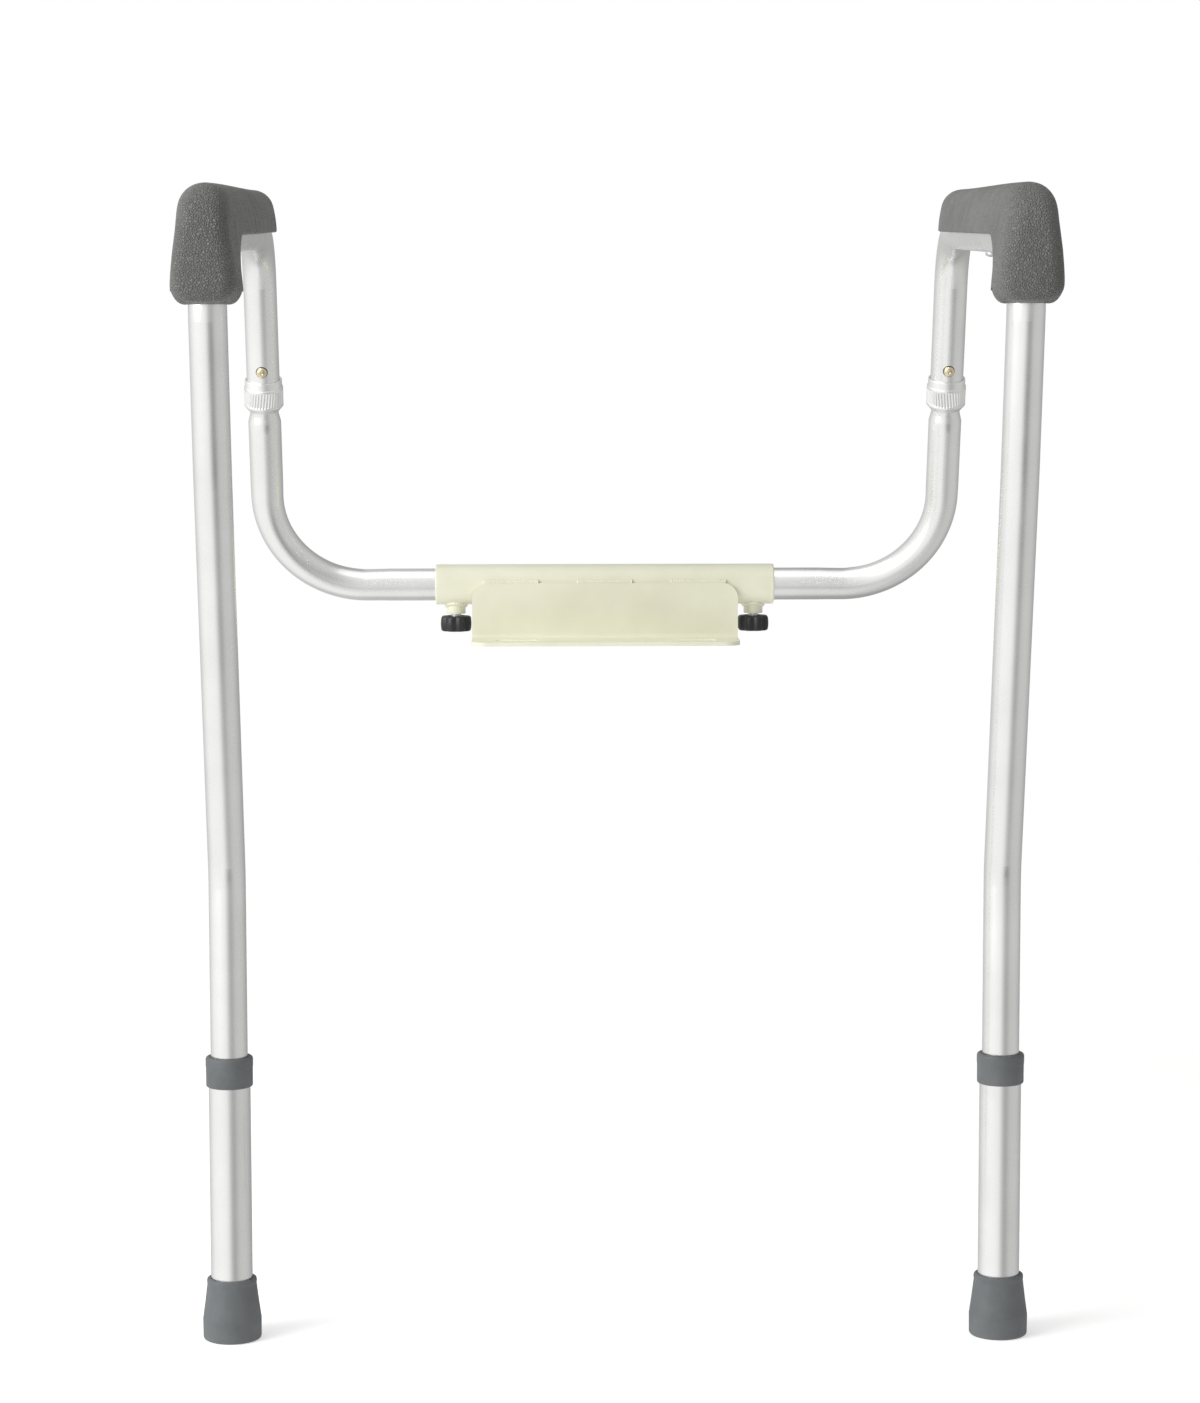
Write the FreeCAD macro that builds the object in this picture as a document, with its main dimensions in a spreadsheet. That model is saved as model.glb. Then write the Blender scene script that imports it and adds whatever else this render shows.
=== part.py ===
import FreeCAD, Part
import math
import os
import re
import Sketcher

# A toilet safety frame: two padded arms on adjustable front legs, joined behind the toilet by a bracket.
#
# X runs across the toilet, with +X to the right of someone who faces the toilet. Y runs to the back and Z up.
# The origin is on the underside of the bracket plate, half-way between the two seat-bolt slots.
# The floor is at Z = -deck_height. Everything is in millimetres and degrees.

SIZES = {
    # overall
    "deck_height": 446,
    "half_span": 265,
    # tubes
    "tube_diameter": 25.4,
    "tube_wall": 1.5,
    "leg_diameter": 28.6,
    "running_gap": 0.1,
    # arm tube: heights above the floor, reaches forward of the seat bolts. The arm rises a little to the rear.
    "arm_front_height": 753.5,
    "arm_rear_height": 765,
    "foot_reach": 386,
    "leg_end_height": 132,
    "knee_height": 324,
    "knee_radius": 70,
    "lean_height": 600,
    "lean_reach": 458,
    "lean_radius": 300,
    "front_reach": 489,
    "front_radius": 45,
    "rear_radius": 55,
    # rear tube: distances along its tilted axis, from the level of the socket
    "rear_tilt": 18,
    "socket_setback": 42,
    "socket_rise": 44,
    "rear_bend_radius": 76,
    "rear_end_offset": 34,
    "neck_base": 137.5,
    "neck_length": 7.2,
    "neck_radius": 4,
    "spigot_diameter": 22.2,
    "spigot_top": 231,
    # lock collar and its ferrule
    "collar_base": 147,
    "collar_length": 25.2,
    "collar_band": 15.2,
    "collar_chamfer": 4,
    "collar_diameter": 30.2,
    "collar_top_diameter": 28.7,
    "collar_mouth_diameter": 23.5,
    "collar_lip": 3,
    "tube_in_collar": 14,
    "ferrule_length": 7.8,
    "ferrule_slit": 1.6,
    "flute_count": 40,
    "flute_depth": 0.5,
    "flute_width": 1.1,
    "flute_slant": 7,
    "flute_margin": 1.6,
    # snap buttons
    "button_diameter": 8.4,
    "button_hole": 9.2,
    "button_flange": 10.5,
    "button_height": 3.2,
    "rear_button_offset": 9.3,
    "leg_button_height": 168,
    "flange_thickness": 1,
    "rear_flange_sink": 1.9,
    "leg_flange_sink": 1.6,
    "strip_thickness": 0.8,
    "strip_width": 8,
    "strip_tip": 7,
    "strip_bend": 6,
    "strip_bend_radius": 10,
    "strip_fold": 38,
    "strip_fold_radius": 2.4,
    "strip_fold_top": 1,
    "strip_fold_depth": 6,
    "strip_tail": 12,
    "strip_tail_sink": 1.2,
    # leg extension
    "leg_top_height": 195,
    "leg_bottom_height": 7.6,
    "hole_count": 7,
    "hole_pitch": 19.05,
    "ring_diameter": 32.4,
    "ring_height": 21,
    "ring_lip": 3,
    # foot
    "foot_height": 43,
    "foot_diameter": 40.3,
    "foot_band": 16,
    "foot_mouth_diameter": 33.7,
    "sole": 6,
    "tread": 1.2,
    "tread_width": 2,
    "inner_tread": 6,
    "outer_tread": 12,
    "washer_thickness": 1.5,
    "washer_hole": 6,
    # arm pad: its edge and its top are measured square from the arm tube's axis
    "pad_edge": 2,
    "pad_rise": 32,
    "pad_drop_height": 710,
    "pad_front_reach": 525,
    "pad_rear_reach": 121,
    "pad_width": 48,
    "pad_nose_radius": 34,
    "pad_rear_radius": 14,
    "pad_inner_radius": 39,
    "pad_edge_radius": 9,
    "insert_length": 250,
    "insert_width": 20,
    "insert_thickness": 3,
    "screw_spacing": 130,
    "screw_shift": 37,
    "screw_diameter": 4.9,
    "screw_clearance": 0.5,
    "screw_head": 9.5,
    "screw_head_height": 3,
    "screw_head_radius": 1.4,
    "screw_point": 5,
    # bracket
    "socket_diameter": 31.8,
    "socket_reach": 134,
    "bush_length": 40,
    "bush_flange": 2.5,
    "plate_thickness": 3,
    "plate_width": 210,
    "plate_front": 20,
    "plate_height": 46,
    "plate_corner_radius": 12,
    "slot_spacing": 140,
    "slot_length": 34,
    "slot_width": 9,
    # clamp screw
    "clamp_offset": 118,
    "clamp_screw_diameter": 8,
    "clamp_screw_hole": 8.4,
    "thread_gap": 0.12,
    "clamp_nut_diameter": 15,
    "clamp_nut_base": 21,
    "knob_diameter": 24,
    "knob_height": 12,
    "knob_base": 7,
    "knob_edge_radius": 1.6,
    "knob_floor": 2,
    "scallop_count": 8,
    "scallop_diameter": 6,
    "scallop_offset": 1.4,
    "tip_height": 3,
    "tip_diameter": 7.8,
    "tip_stem_diameter": 4,
    "tip_stem_length": 2.9,
    # gaps between pieces that are pushed, moulded or welded together
    "fit_gap": 0.05,
    "weld_gap": 0.02,
}

SIDES = {"left": -1, "right": 1}

doc = FreeCAD.newDocument("toilet_safety_frame")
sheet = doc.addObject("Spreadsheet::Sheet", "sizes")
for row, (alias, number) in enumerate(SIZES.items(), start=1):
    sheet.set(f"A{row}", str(number))
    sheet.setAlias(f"A{row}", alias)
doc.recompute()

subparts = []


# ---------------------------------------------------------------- formulas

def formula(text):
    """A spreadsheet formula, from one written with the bare names of the sizes."""
    return re.sub(r"[a-z_]+", lambda m: ("sizes." if m[0] in SIZES else "") + m[0], str(text))


def measure(text):
    """The number that a formula gives now."""
    result = sheet.evalExpression(formula(text))
    return float(getattr(result, "Value", result))


def bind(thing, **formulas):
    """Tie each named property of an object to a formula."""
    for name, text in formulas.items():
        thing.setExpression(name, formula(text))


def place(thing, x="0", y="0", z="0", turn="0", axis=(1, 0, 0)):
    """Put an object at a point, turned by an angle in degrees about an axis through its own origin."""
    angle = measure(turn)
    rotation = FreeCAD.Rotation(FreeCAD.Vector(*axis), angle)
    thing.Placement = FreeCAD.Placement(FreeCAD.Vector(measure(x), measure(y), measure(z)), rotation)
    for letter, text in (("x", x), ("y", y), ("z", z)):
        thing.setExpression(f"Placement.Base.{letter}", formula(text))
    if angle:
        thing.setExpression("Placement.Rotation.Angle", formula(f"({turn}) * 1deg"))


TILT_SIN = "sin(rear_tilt * 1deg)"
TILT_COS = "cos(rear_tilt * 1deg)"
TILT_TAN = "tan(rear_tilt * 1deg)"
ARM_FRONT_Z = "(arm_front_height - deck_height)"
ARM_REAR_Z = "(arm_rear_height - deck_height)"
REAR_CORNER_Y = f"(socket_setback - ({ARM_REAR_Z} - socket_rise) * {TILT_TAN})"
ARM_TAN = f"(({ARM_REAR_Z} - {ARM_FRONT_Z}) / ({REAR_CORNER_Y} + front_reach))"
ARM_SLOPE = f"(atan({ARM_TAN}) / 1deg)"
LEAN_TAN = "((front_reach - lean_reach) / (arm_front_height - lean_height))"
PAD_MIDDLE = "(-(pad_front_reach + pad_rear_reach) / 2)"
PAD_MIDDLE_Z = f"({ARM_FRONT_Z} + ({PAD_MIDDLE} + front_reach) * {ARM_TAN})"
SCREW_PLACES = ("-screw_shift - screw_spacing / 2", "-screw_shift + screw_spacing / 2")
COLLAR_TOP = "(collar_base + collar_length)"
ARM_TUBE_END = f"({COLLAR_TOP} - tube_in_collar)"
REAR_BUTTON = f"({COLLAR_TOP} + rear_button_offset)"
TUBE_BORE = "(tube_diameter - 2 * tube_wall)"
SPIGOT_BORE = "(spigot_diameter - 2 * tube_wall)"
LEG_BORE = "(tube_diameter + 2 * running_gap)"


def rear_point(along):
    """The (Y, Z) formulas of a point on the rear tube's axis, this far up from the socket's level."""
    y = f"socket_setback - {along} * {TILT_SIN}"
    z = f"socket_rise + {along} * {TILT_COS}"
    return y, z


def above_arm(y, lift):
    """The Z formula of a point over the arm's axis at this Y, lifted off the axis by this much."""
    return f"{ARM_FRONT_Z} + ({y} + front_reach) * {ARM_TAN} + {lift} / cos({ARM_SLOPE} * 1deg)"


def arm_frame(side):
    """Where a body goes whose Y runs along the arm's axis, with its origin under the middle of the pad."""
    return {"x": side_x(side), "y": PAD_MIDDLE, "z": PAD_MIDDLE_Z, "turn": ARM_SLOPE}


# ---------------------------------------------------------------- sketches and features

def new_body(label, **where):
    body = doc.addObject("PartDesign::Body", label)
    body.Label = label
    place(body, **where)
    subparts.append(body)
    return body


def plane_of(body, role):
    return next(f for f in body.Origin.OriginFeatures if f.Role == role)


def new_sketch(body, role, name, lift="0", shift="0", turn="0"):
    """A sketch on one of the body's own origin planes: shifted along its Y, lifted off it, and turned about its X."""
    sketch = body.newObject("Sketcher::SketchObject", f"{body.Label}_{name}")
    sketch.AttachmentSupport = (plane_of(body, role), [""])
    sketch.MapMode = "FlatFace"
    rotation = FreeCAD.Rotation(FreeCAD.Vector(1, 0, 0), measure(turn))
    sketch.AttachmentOffset = FreeCAD.Placement(FreeCAD.Vector(0, measure(shift), measure(lift)), rotation)
    sketch.setExpression("AttachmentOffset.Base.y", formula(shift))
    sketch.setExpression("AttachmentOffset.Base.z", formula(lift))
    if measure(turn):
        sketch.setExpression("AttachmentOffset.Rotation.Angle", formula(f"({turn}) * 1deg"))
    return sketch


def fix_point(sketch, geometry, vertex, x, y, name):
    """Hold a point of a sketch at a place given by two formulas."""
    for kind, letter, text in (("DistanceX", "x", x), ("DistanceY", "y", y)):
        limit = Sketcher.Constraint(kind, -1, 1, geometry, vertex, measure(text))
        index = sketch.addConstraint(limit)
        sketch.renameConstraint(index, f"{name}_{letter}")
        sketch.setExpression(f"Constraints.{name}_{letter}", formula(text))


def draw_outline(sketch, corners, closed=True, name="p"):
    """Straight runs between corners. Each corner is (x, y) or (x, y, radius of its rounding), as formulas."""
    first = sketch.GeometryCount
    spots = [FreeCAD.Vector(measure(c[0]), measure(c[1]), 0) for c in corners]
    count = len(corners) if closed else len(corners) - 1
    for i in range(count):
        sketch.addGeometry(Part.LineSegment(spots[i], spots[(i + 1) % len(spots)]), False)
    for i in range(count if closed else count - 1):
        following = first + (i + 1) % count
        sketch.addConstraint(Sketcher.Constraint("Coincident", first + i, 2, following, 1))
    for i, corner in enumerate(corners):
        line, vertex = (first + i, 1) if i < count else (first + i - 1, 2)
        fix_point(sketch, line, vertex, corner[0], corner[1], f"{name}{i}")
    for i, corner in enumerate(corners):
        if len(corner) > 2:
            lines = (first + (i - 1) % count, first + i)
            round_corner(sketch, lines, spots, i, corner[2], f"{name}{i}_radius")


def round_corner(sketch, lines, spots, i, radius, name):
    """Round the corner between two lines, keeping the corner itself where it was."""
    corner = spots[i]
    before = spots[i - 1] - corner
    after = spots[(i + 1) % len(spots)] - corner
    reach = measure(radius) * 0.5
    near_in = corner + before.normalize() * reach
    near_out = corner + after.normalize() * reach
    sketch.fillet(*lines, near_in, near_out, measure(radius), True, True)
    arcs = [k for k, g in enumerate(sketch.Geometry) if g.TypeId == "Part::GeomArcOfCircle"]
    index = sketch.addConstraint(Sketcher.Constraint("Radius", arcs[-1], measure(radius)))
    sketch.renameConstraint(index, name)
    sketch.setExpression(f"Constraints.{name}", formula(radius))


def draw_circle(sketch, diameter, x="0", y="0", name="circle"):
    centre = FreeCAD.Vector(measure(x), measure(y), 0)
    circle = Part.Circle(centre, FreeCAD.Vector(0, 0, 1), measure(diameter) / 2)
    index = sketch.addGeometry(circle, False)
    fix_point(sketch, index, 3, x, y, name)
    limit = sketch.addConstraint(Sketcher.Constraint("Diameter", index, measure(diameter)))
    sketch.renameConstraint(limit, f"{name}_size")
    sketch.setExpression(f"Constraints.{name}_size", formula(diameter))


def draw_slot(sketch, x, length, width, name):
    """A slot along the sketch's X, centred at (x, 0)."""
    reach = (measure(length) - measure(width)) / 2
    radius = measure(width) / 2
    ends = []
    for sign, start in ((1, -math.pi / 2), (-1, math.pi / 2)):
        centre = FreeCAD.Vector(measure(x) + sign * reach, 0, 0)
        circle = Part.Circle(centre, FreeCAD.Vector(0, 0, 1), radius)
        ends.append(sketch.addGeometry(Part.ArcOfCircle(circle, start, start + math.pi), False))
    arcs = [sketch.Geometry[end] for end in ends]
    upper = sketch.addGeometry(Part.LineSegment(arcs[0].EndPoint, arcs[1].StartPoint), False)
    lower = sketch.addGeometry(Part.LineSegment(arcs[1].EndPoint, arcs[0].StartPoint), False)
    chain = ((ends[0], 2, upper, 1), (upper, 2, ends[1], 1), (ends[1], 2, lower, 1), (lower, 2, ends[0], 1))
    for joint in chain:
        sketch.addConstraint(Sketcher.Constraint("Tangent", *joint))
    sketch.addConstraint(Sketcher.Constraint("Equal", ends[0], ends[1]))
    offset = f"({length} - {width}) / 2"
    fix_point(sketch, ends[0], 3, f"{x} + {offset}", "0", f"{name}a")
    fix_point(sketch, ends[1], 3, f"{x} - {offset}", "0", f"{name}b")
    limit = sketch.addConstraint(Sketcher.Constraint("Radius", ends[0], radius))
    sketch.renameConstraint(limit, f"{name}_radius")
    sketch.setExpression(f"Constraints.{name}_radius", formula(f"{width} / 2"))


def finish(body, feature):
    """Recompute with the feature as the body's tip, and stop if it failed."""
    body.Tip = feature
    doc.recompute()
    if "Invalid" in feature.State or not body.Shape.Volume > 0:
        raise ValueError(f"{feature.Label}: {feature.getStatusString()}")
    return feature


def revolve(body, corners, name="turned"):
    """A solid of revolution about the body's Z, from an outline of (radius, height) corners."""
    sketch = new_sketch(body, "XZ_Plane", f"{name}_outline")
    draw_outline(sketch, corners)
    turned = body.newObject("PartDesign::Revolution", f"{body.Label}_{name}")
    turned.Profile = sketch
    turned.ReferenceAxis = (sketch, ["V_Axis"])
    turned.Angle = 360
    return finish(body, turned)


def pad(body, sketch, length, symmetric=False, name="pad"):
    feature = body.newObject("PartDesign::Pad", f"{body.Label}_{name}")
    feature.Profile = sketch
    if symmetric:
        feature.SideType = "Symmetric"
    bind(feature, Length=length)
    return finish(body, feature)


def cut(body, sketch, length=None, reverse=False, symmetric=False, name="cut"):
    """A pocket from a sketch: right through both ways, or to a length. It must take something away."""
    before = body.Shape.Volume
    feature = body.newObject("PartDesign::Pocket", f"{body.Label}_{name}")
    feature.Profile = sketch
    if symmetric:
        feature.SideType = "Symmetric"
    feature.Reversed = reverse
    if length is None:
        feature.Type = "ThroughAll"
    else:
        bind(feature, Length=length)
    finish(body, feature)
    if not body.Shape.Volume < before - 1e-6:
        raise ValueError(f"{body.Label}: {name} cut nothing")
    return feature


def sweep(body, kind, profile, path, name="sweep"):
    """A pipe of a profile sketch along the whole of a path sketch."""
    doc.recompute()
    feature = body.newObject(f"PartDesign::{kind}", f"{body.Label}_{name}")
    feature.Profile = profile
    feature.Spine = (path, [f"Edge{i + 1}" for i in range(len(path.Shape.Edges))])
    return finish(body, feature)


def polar(body, feature, count, name="pattern"):
    """Repeat a cut evenly around the body's Z."""
    pattern = body.newObject("PartDesign::PolarPattern", f"{body.Label}_{name}")
    pattern.Originals = [feature]
    pattern.Axis = (plane_of(body, "Z_Axis"), [""])
    pattern.Angle = 360
    bind(pattern, Occurrences=count)
    return finish(body, pattern)


def soften(body, radius, wanted, name="soft_edges"):
    """Fillet the tip's edges that a test picks."""
    sharp = body.Tip
    edges = [f"Edge{i + 1}" for i, e in enumerate(sharp.Shape.Edges) if wanted(e)]
    fillet = body.newObject("PartDesign::Fillet", f"{body.Label}_{name}")
    fillet.Base = (sharp, edges)
    bind(fillet, Radius=radius)
    return finish(body, fillet)


def side_x(side):
    return f"{SIDES[side]} * half_span"


# ---------------------------------------------------------------- arm

LEAN = ("-lean_reach", "lean_height - deck_height", "lean_radius")
FRONT_CORNER = ("-front_reach", ARM_FRONT_Z, "front_radius")
REAR_CORNER = (REAR_CORNER_Y, ARM_REAR_Z, "rear_radius")


def arm_tube(side):
    """One bent tube: up from inside the leg, forward to the arm, back along it and down to the lock collar."""
    body = new_body(f"{side}_arm_tube", x=side_x(side))
    path = new_sketch(body, "YZ_Plane", "path")
    start = ("-foot_reach", "leg_end_height - deck_height")
    knee = ("-foot_reach", "knee_height - deck_height", "knee_radius")
    end = rear_point(ARM_TUBE_END)
    draw_outline(path, [start, knee, LEAN, FRONT_CORNER, REAR_CORNER, end], closed=False)
    ring = new_sketch(body, "XY_Plane", "section", lift="leg_end_height - deck_height")
    draw_circle(ring, "tube_diameter", y="-foot_reach", name="outer")
    draw_circle(ring, TUBE_BORE, y="-foot_reach", name="inner")
    sweep(body, "AdditivePipe", ring, path, "tube")

    y, z = rear_point(REAR_BUTTON)
    hole = new_sketch(body, "XZ_Plane", "rear_hole_outline", lift=f"-({y})", shift=z, turn="rear_tilt")
    draw_circle(hole, "button_hole")
    cut(body, hole, "tube_diameter", reverse=True, name="rear_hole")

    hole = new_sketch(body, "XZ_Plane", "leg_hole_outline", lift="foot_reach")
    draw_circle(hole, "button_hole", y="leg_button_height - deck_height")
    cut(body, hole, "tube_diameter", name="leg_hole")

    holes = arm_sketch(body, "screw_hole_outline")
    for i, y in enumerate(SCREW_PLACES):
        draw_circle(holes, "screw_diameter + screw_clearance", y=y, name=f"hole{i}")
    cut(body, holes, "tube_diameter + 2", symmetric=True, name="screw_holes")


def arm_sketch(body, name):
    """A sketch in the plane of the arm's axis and X, with its origin under the middle of the pad."""
    return new_sketch(body, "XY_Plane", name, lift=PAD_MIDDLE_Z, shift=PAD_MIDDLE, turn=ARM_SLOPE)


def arm_pad(side):
    """Moulded foam that sits astride the arm and drops over its front corner."""
    body = new_body(f"{side}_arm_pad", x=side_x(side))
    drop_z = "pad_drop_height - deck_height"
    drop = f"(arm_front_height - pad_drop_height) * {LEAN_TAN}"
    rear_y, front_y = "-pad_rear_reach", "-pad_front_reach"
    outline = new_sketch(body, "YZ_Plane", "outline")
    draw_outline(outline, [
        (rear_y, above_arm(rear_y, "pad_edge")),
        (rear_y, above_arm(rear_y, "pad_rise"), "pad_rear_radius"),
        (front_y, above_arm(front_y, "pad_rise"), "pad_nose_radius"),
        (f"-front_reach + {drop} - pad_rise", drop_z, "pad_edge_radius"),
        (f"-front_reach + {drop}", drop_z),
        ("-front_reach", above_arm("-front_reach", "pad_edge"), "pad_inner_radius"),
    ])
    pad(body, outline, "pad_width", symmetric=True)
    half = measure("pad_width") / 2
    front = -measure("front_reach")

    def outer_edge(edge):
        middle = edge.valueAt((edge.FirstParameter + edge.LastParameter) / 2)
        over_edge = middle.z > measure(above_arm(str(middle.y), "pad_edge")) + 2
        return abs(abs(middle.x) - half) < 1e-6 and (over_edge or middle.y < front)

    soften(body, "pad_edge_radius", outer_edge)

    groove = new_sketch(body, "YZ_Plane", "groove_path")
    draw_outline(groove, [LEAN[:2], FRONT_CORNER, REAR_CORNER[:2]], closed=False)
    section = new_sketch(body, "XZ_Plane", "groove_section", lift=f"-{REAR_CORNER_Y}", shift=ARM_REAR_Z,
                         turn=ARM_SLOPE)
    draw_circle(section, "tube_diameter + 2 * fit_gap")
    sweep(body, "SubtractivePipe", section, groove, "groove")

    seat = arm_sketch(body, "insert_seat_outline")
    draw_plate(seat, "(insert_width + 2 * fit_gap)", "(insert_length + 2 * fit_gap)")
    cut(body, seat, "tube_diameter / 2 + insert_thickness + 2 * fit_gap", reverse=True, name="insert_seat")
    wells = arm_sketch(body, "screw_well_outline")
    for i, y in enumerate(SCREW_PLACES):
        draw_circle(wells, "screw_diameter + 1", y=y, name=f"well{i}")
    cut(body, wells, "tube_diameter / 2 + insert_thickness + 3", reverse=True, name="screw_wells")


def draw_plate(sketch, width, length):
    """A rectangle about the sketch's origin."""
    corners = ((-1, -1), (1, -1), (1, 1), (-1, 1))
    draw_outline(sketch, [(f"{i} * {width} / 2", f"{j} * {length} / 2") for i, j in corners])


def pad_insert(side):
    """Steel strip inside the pad that the screws pull down onto the tube."""
    body = new_body(f"{side}_pad_insert", **arm_frame(side))
    outline = new_sketch(body, "XY_Plane", "outline", lift="tube_diameter / 2 + fit_gap")
    draw_plate(outline, "insert_width", "insert_length")
    for i, y in enumerate(SCREW_PLACES):
        draw_circle(outline, "screw_diameter + 2 * fit_gap", y=y, name=f"hole{i}")
    pad(body, outline, "insert_thickness")


def pad_screws(side):
    """Two round-head screws that go up through the arm tube into the insert, as separate solids of one node."""
    screws = []
    for i, along in enumerate(SCREW_PLACES):
        head = doc.addObject("Part::Cylinder", f"{side}_screw_head_{i}")
        bind(head, Radius="screw_head / 2", Height="screw_head_height")
        shank = doc.addObject("Part::Cylinder", f"{side}_screw_shank_{i}")
        bind(shank, Radius="screw_diameter / 2", Height="tube_diameter + insert_thickness + screw_point")
        sunk = "(tube_diameter / 2 + screw_head_height + 2 * fit_gap)"
        slope = f"({ARM_SLOPE} * 1deg)"
        y = f"{PAD_MIDDLE} + ({along}) * cos{slope} + {sunk} * sin{slope}"
        z = f"{PAD_MIDDLE_Z} + ({along}) * sin{slope} - {sunk} * cos{slope}"
        for piece in (head, shank):
            place(piece, x=side_x(side), y=y, z=z, turn=ARM_SLOPE)
        screw = doc.addObject("Part::Fuse", f"{side}_screw_{i}")
        screw.Base = head
        screw.Tool = shank
        doc.recompute()
        lowest = min(e.BoundBox.ZMax for e in screw.Shape.Edges if e.Curve.TypeId == "Part::GeomCircle")
        radius = measure("screw_head_radius")
        rim = [
            (k + 1, radius, radius)
            for k, e in enumerate(screw.Shape.Edges)
            if e.Curve.TypeId == "Part::GeomCircle" and e.BoundBox.ZMax < lowest + 0.01
        ]
        rounded = doc.addObject("Part::Fillet", f"{side}_rounded_screw_{i}")
        rounded.Base = screw
        rounded.Edges = rim
        screws.append(rounded)
    pair = doc.addObject("Part::Compound", f"{side}_pad_screws")
    pair.Label = f"{side}_pad_screws"
    pair.Links = screws
    subparts.append(pair)


# ---------------------------------------------------------------- leg

def leg_extension(side):
    """The wider tube that slides on the arm tube's leg, with a row of height holes down its back."""
    body = new_body(f"{side}_leg_extension", x=side_x(side), y="-foot_reach", z="-deck_height")
    ring = new_sketch(body, "XY_Plane", "section", lift="leg_bottom_height")
    draw_circle(ring, "leg_diameter", name="outer")
    draw_circle(ring, LEG_BORE, name="inner")
    pad(body, ring, "leg_top_height - leg_bottom_height")
    hole = new_sketch(body, "XZ_Plane", "hole_outline")
    draw_circle(hole, "button_hole", y="leg_button_height")
    first = cut(body, hole, "leg_diameter", name="hole")
    row = body.newObject("PartDesign::LinearPattern", f"{body.Label}_hole_row")
    row.Originals = [first]
    row.Direction = (hole, ["V_Axis"])
    row.Reversed = True
    bind(row, Length="(hole_count - 1) * hole_pitch", Occurrences="hole_count")
    finish(body, row)


def leg_ring(side):
    """Soft ring that caps the leg extension and wipes the arm tube."""
    base = "leg_top_height + ring_lip - ring_height - deck_height"
    body = new_body(f"{side}_leg_ring", x=side_x(side), y="-foot_reach", z=base)
    seat = "leg_diameter / 2 + fit_gap"
    lip = f"{LEG_BORE} / 2"
    shoulder = "ring_height - ring_lip + fit_gap"
    revolve(body, [
        (seat, "0"),
        ("ring_diameter / 2", "0", "1"),
        ("ring_diameter / 2", "ring_height", "1.8"),
        (lip, "ring_height", "0.6"),
        (lip, shoulder),
        (seat, shoulder),
    ])


def foot(side):
    """Flared tip with a blind socket for the leg and two rings cut into its sole."""
    body = new_body(f"{side}_foot", x=side_x(side), y="-foot_reach", z="-deck_height")
    bore = "leg_diameter / 2 + fit_gap"
    treads = []
    for near in ("inner_tread", "outer_tread"):
        far = f"{near} + tread_width"
        treads += [(near, "0"), (near, "tread"), (far, "tread"), (far, "0")]
    revolve(body, [
        ("0", "0"),
        *treads,
        ("foot_diameter / 2", "0", "2.2"),
        ("foot_diameter / 2", "foot_band", "5"),
        ("foot_mouth_diameter / 2 - 0.3", "foot_height - 3", "1"),
        ("foot_mouth_diameter / 2", "foot_height", "1.2"),
        (bore, "foot_height"),
        (bore, "sole"),
        ("0", "sole"),
    ])


def foot_washer(side):
    """Steel disc that keeps the tube from cutting through the sole."""
    body = new_body(f"{side}_foot_washer", x=side_x(side), y="-foot_reach", z="-deck_height")
    ring = new_sketch(body, "XY_Plane", "section", lift="sole + weld_gap")
    draw_circle(ring, "leg_diameter - 8 * fit_gap", name="outer")
    draw_circle(ring, "washer_hole", name="inner")
    pad(body, ring, "washer_thickness")


# ---------------------------------------------------------------- snap buttons

# Each button stands on its tube's axis, with the body's own Z pointing out through the holes and its Y along the tube.
# "seat" is how far from the axis the flange's outer face lies, and "outside" is the outer tube's radius.
BUTTONS = {
    "rear": {
        "bore": f"{SPIGOT_BORE} / 2",
        "seat": f"({SPIGOT_BORE} / 2 - rear_flange_sink)",
        "outside": "tube_diameter / 2",
        "y": rear_point(REAR_BUTTON)[0],
        "z": rear_point(REAR_BUTTON)[1],
        "turn": "90 + rear_tilt",
    },
    "leg": {
        "bore": f"{TUBE_BORE} / 2",
        "seat": f"({TUBE_BORE} / 2 - leg_flange_sink)",
        "outside": "leg_diameter / 2",
        "y": "-foot_reach",
        "z": "leg_button_height - deck_height",
        "turn": "-90",
    },
}


def snap_button(side, which):
    """Domed pin with a flange that stops it inside the tube."""
    spot = BUTTONS[which]
    where = {"x": side_x(side), "y": spot["y"], "z": spot["z"], "turn": spot["turn"]}
    body = new_body(f"{side}_{which}_snap_button", **where)
    seat = spot["seat"]
    crown = f"{spot['outside']} + button_height"
    revolve(body, [
        ("0", f"{seat} - flange_thickness"),
        ("button_flange / 2", f"{seat} - flange_thickness"),
        ("button_flange / 2", seat),
        ("button_diameter / 2", seat),
        ("button_diameter / 2", crown, "button_diameter / 2 - 0.6"),
        ("0", crown),
    ])


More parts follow.
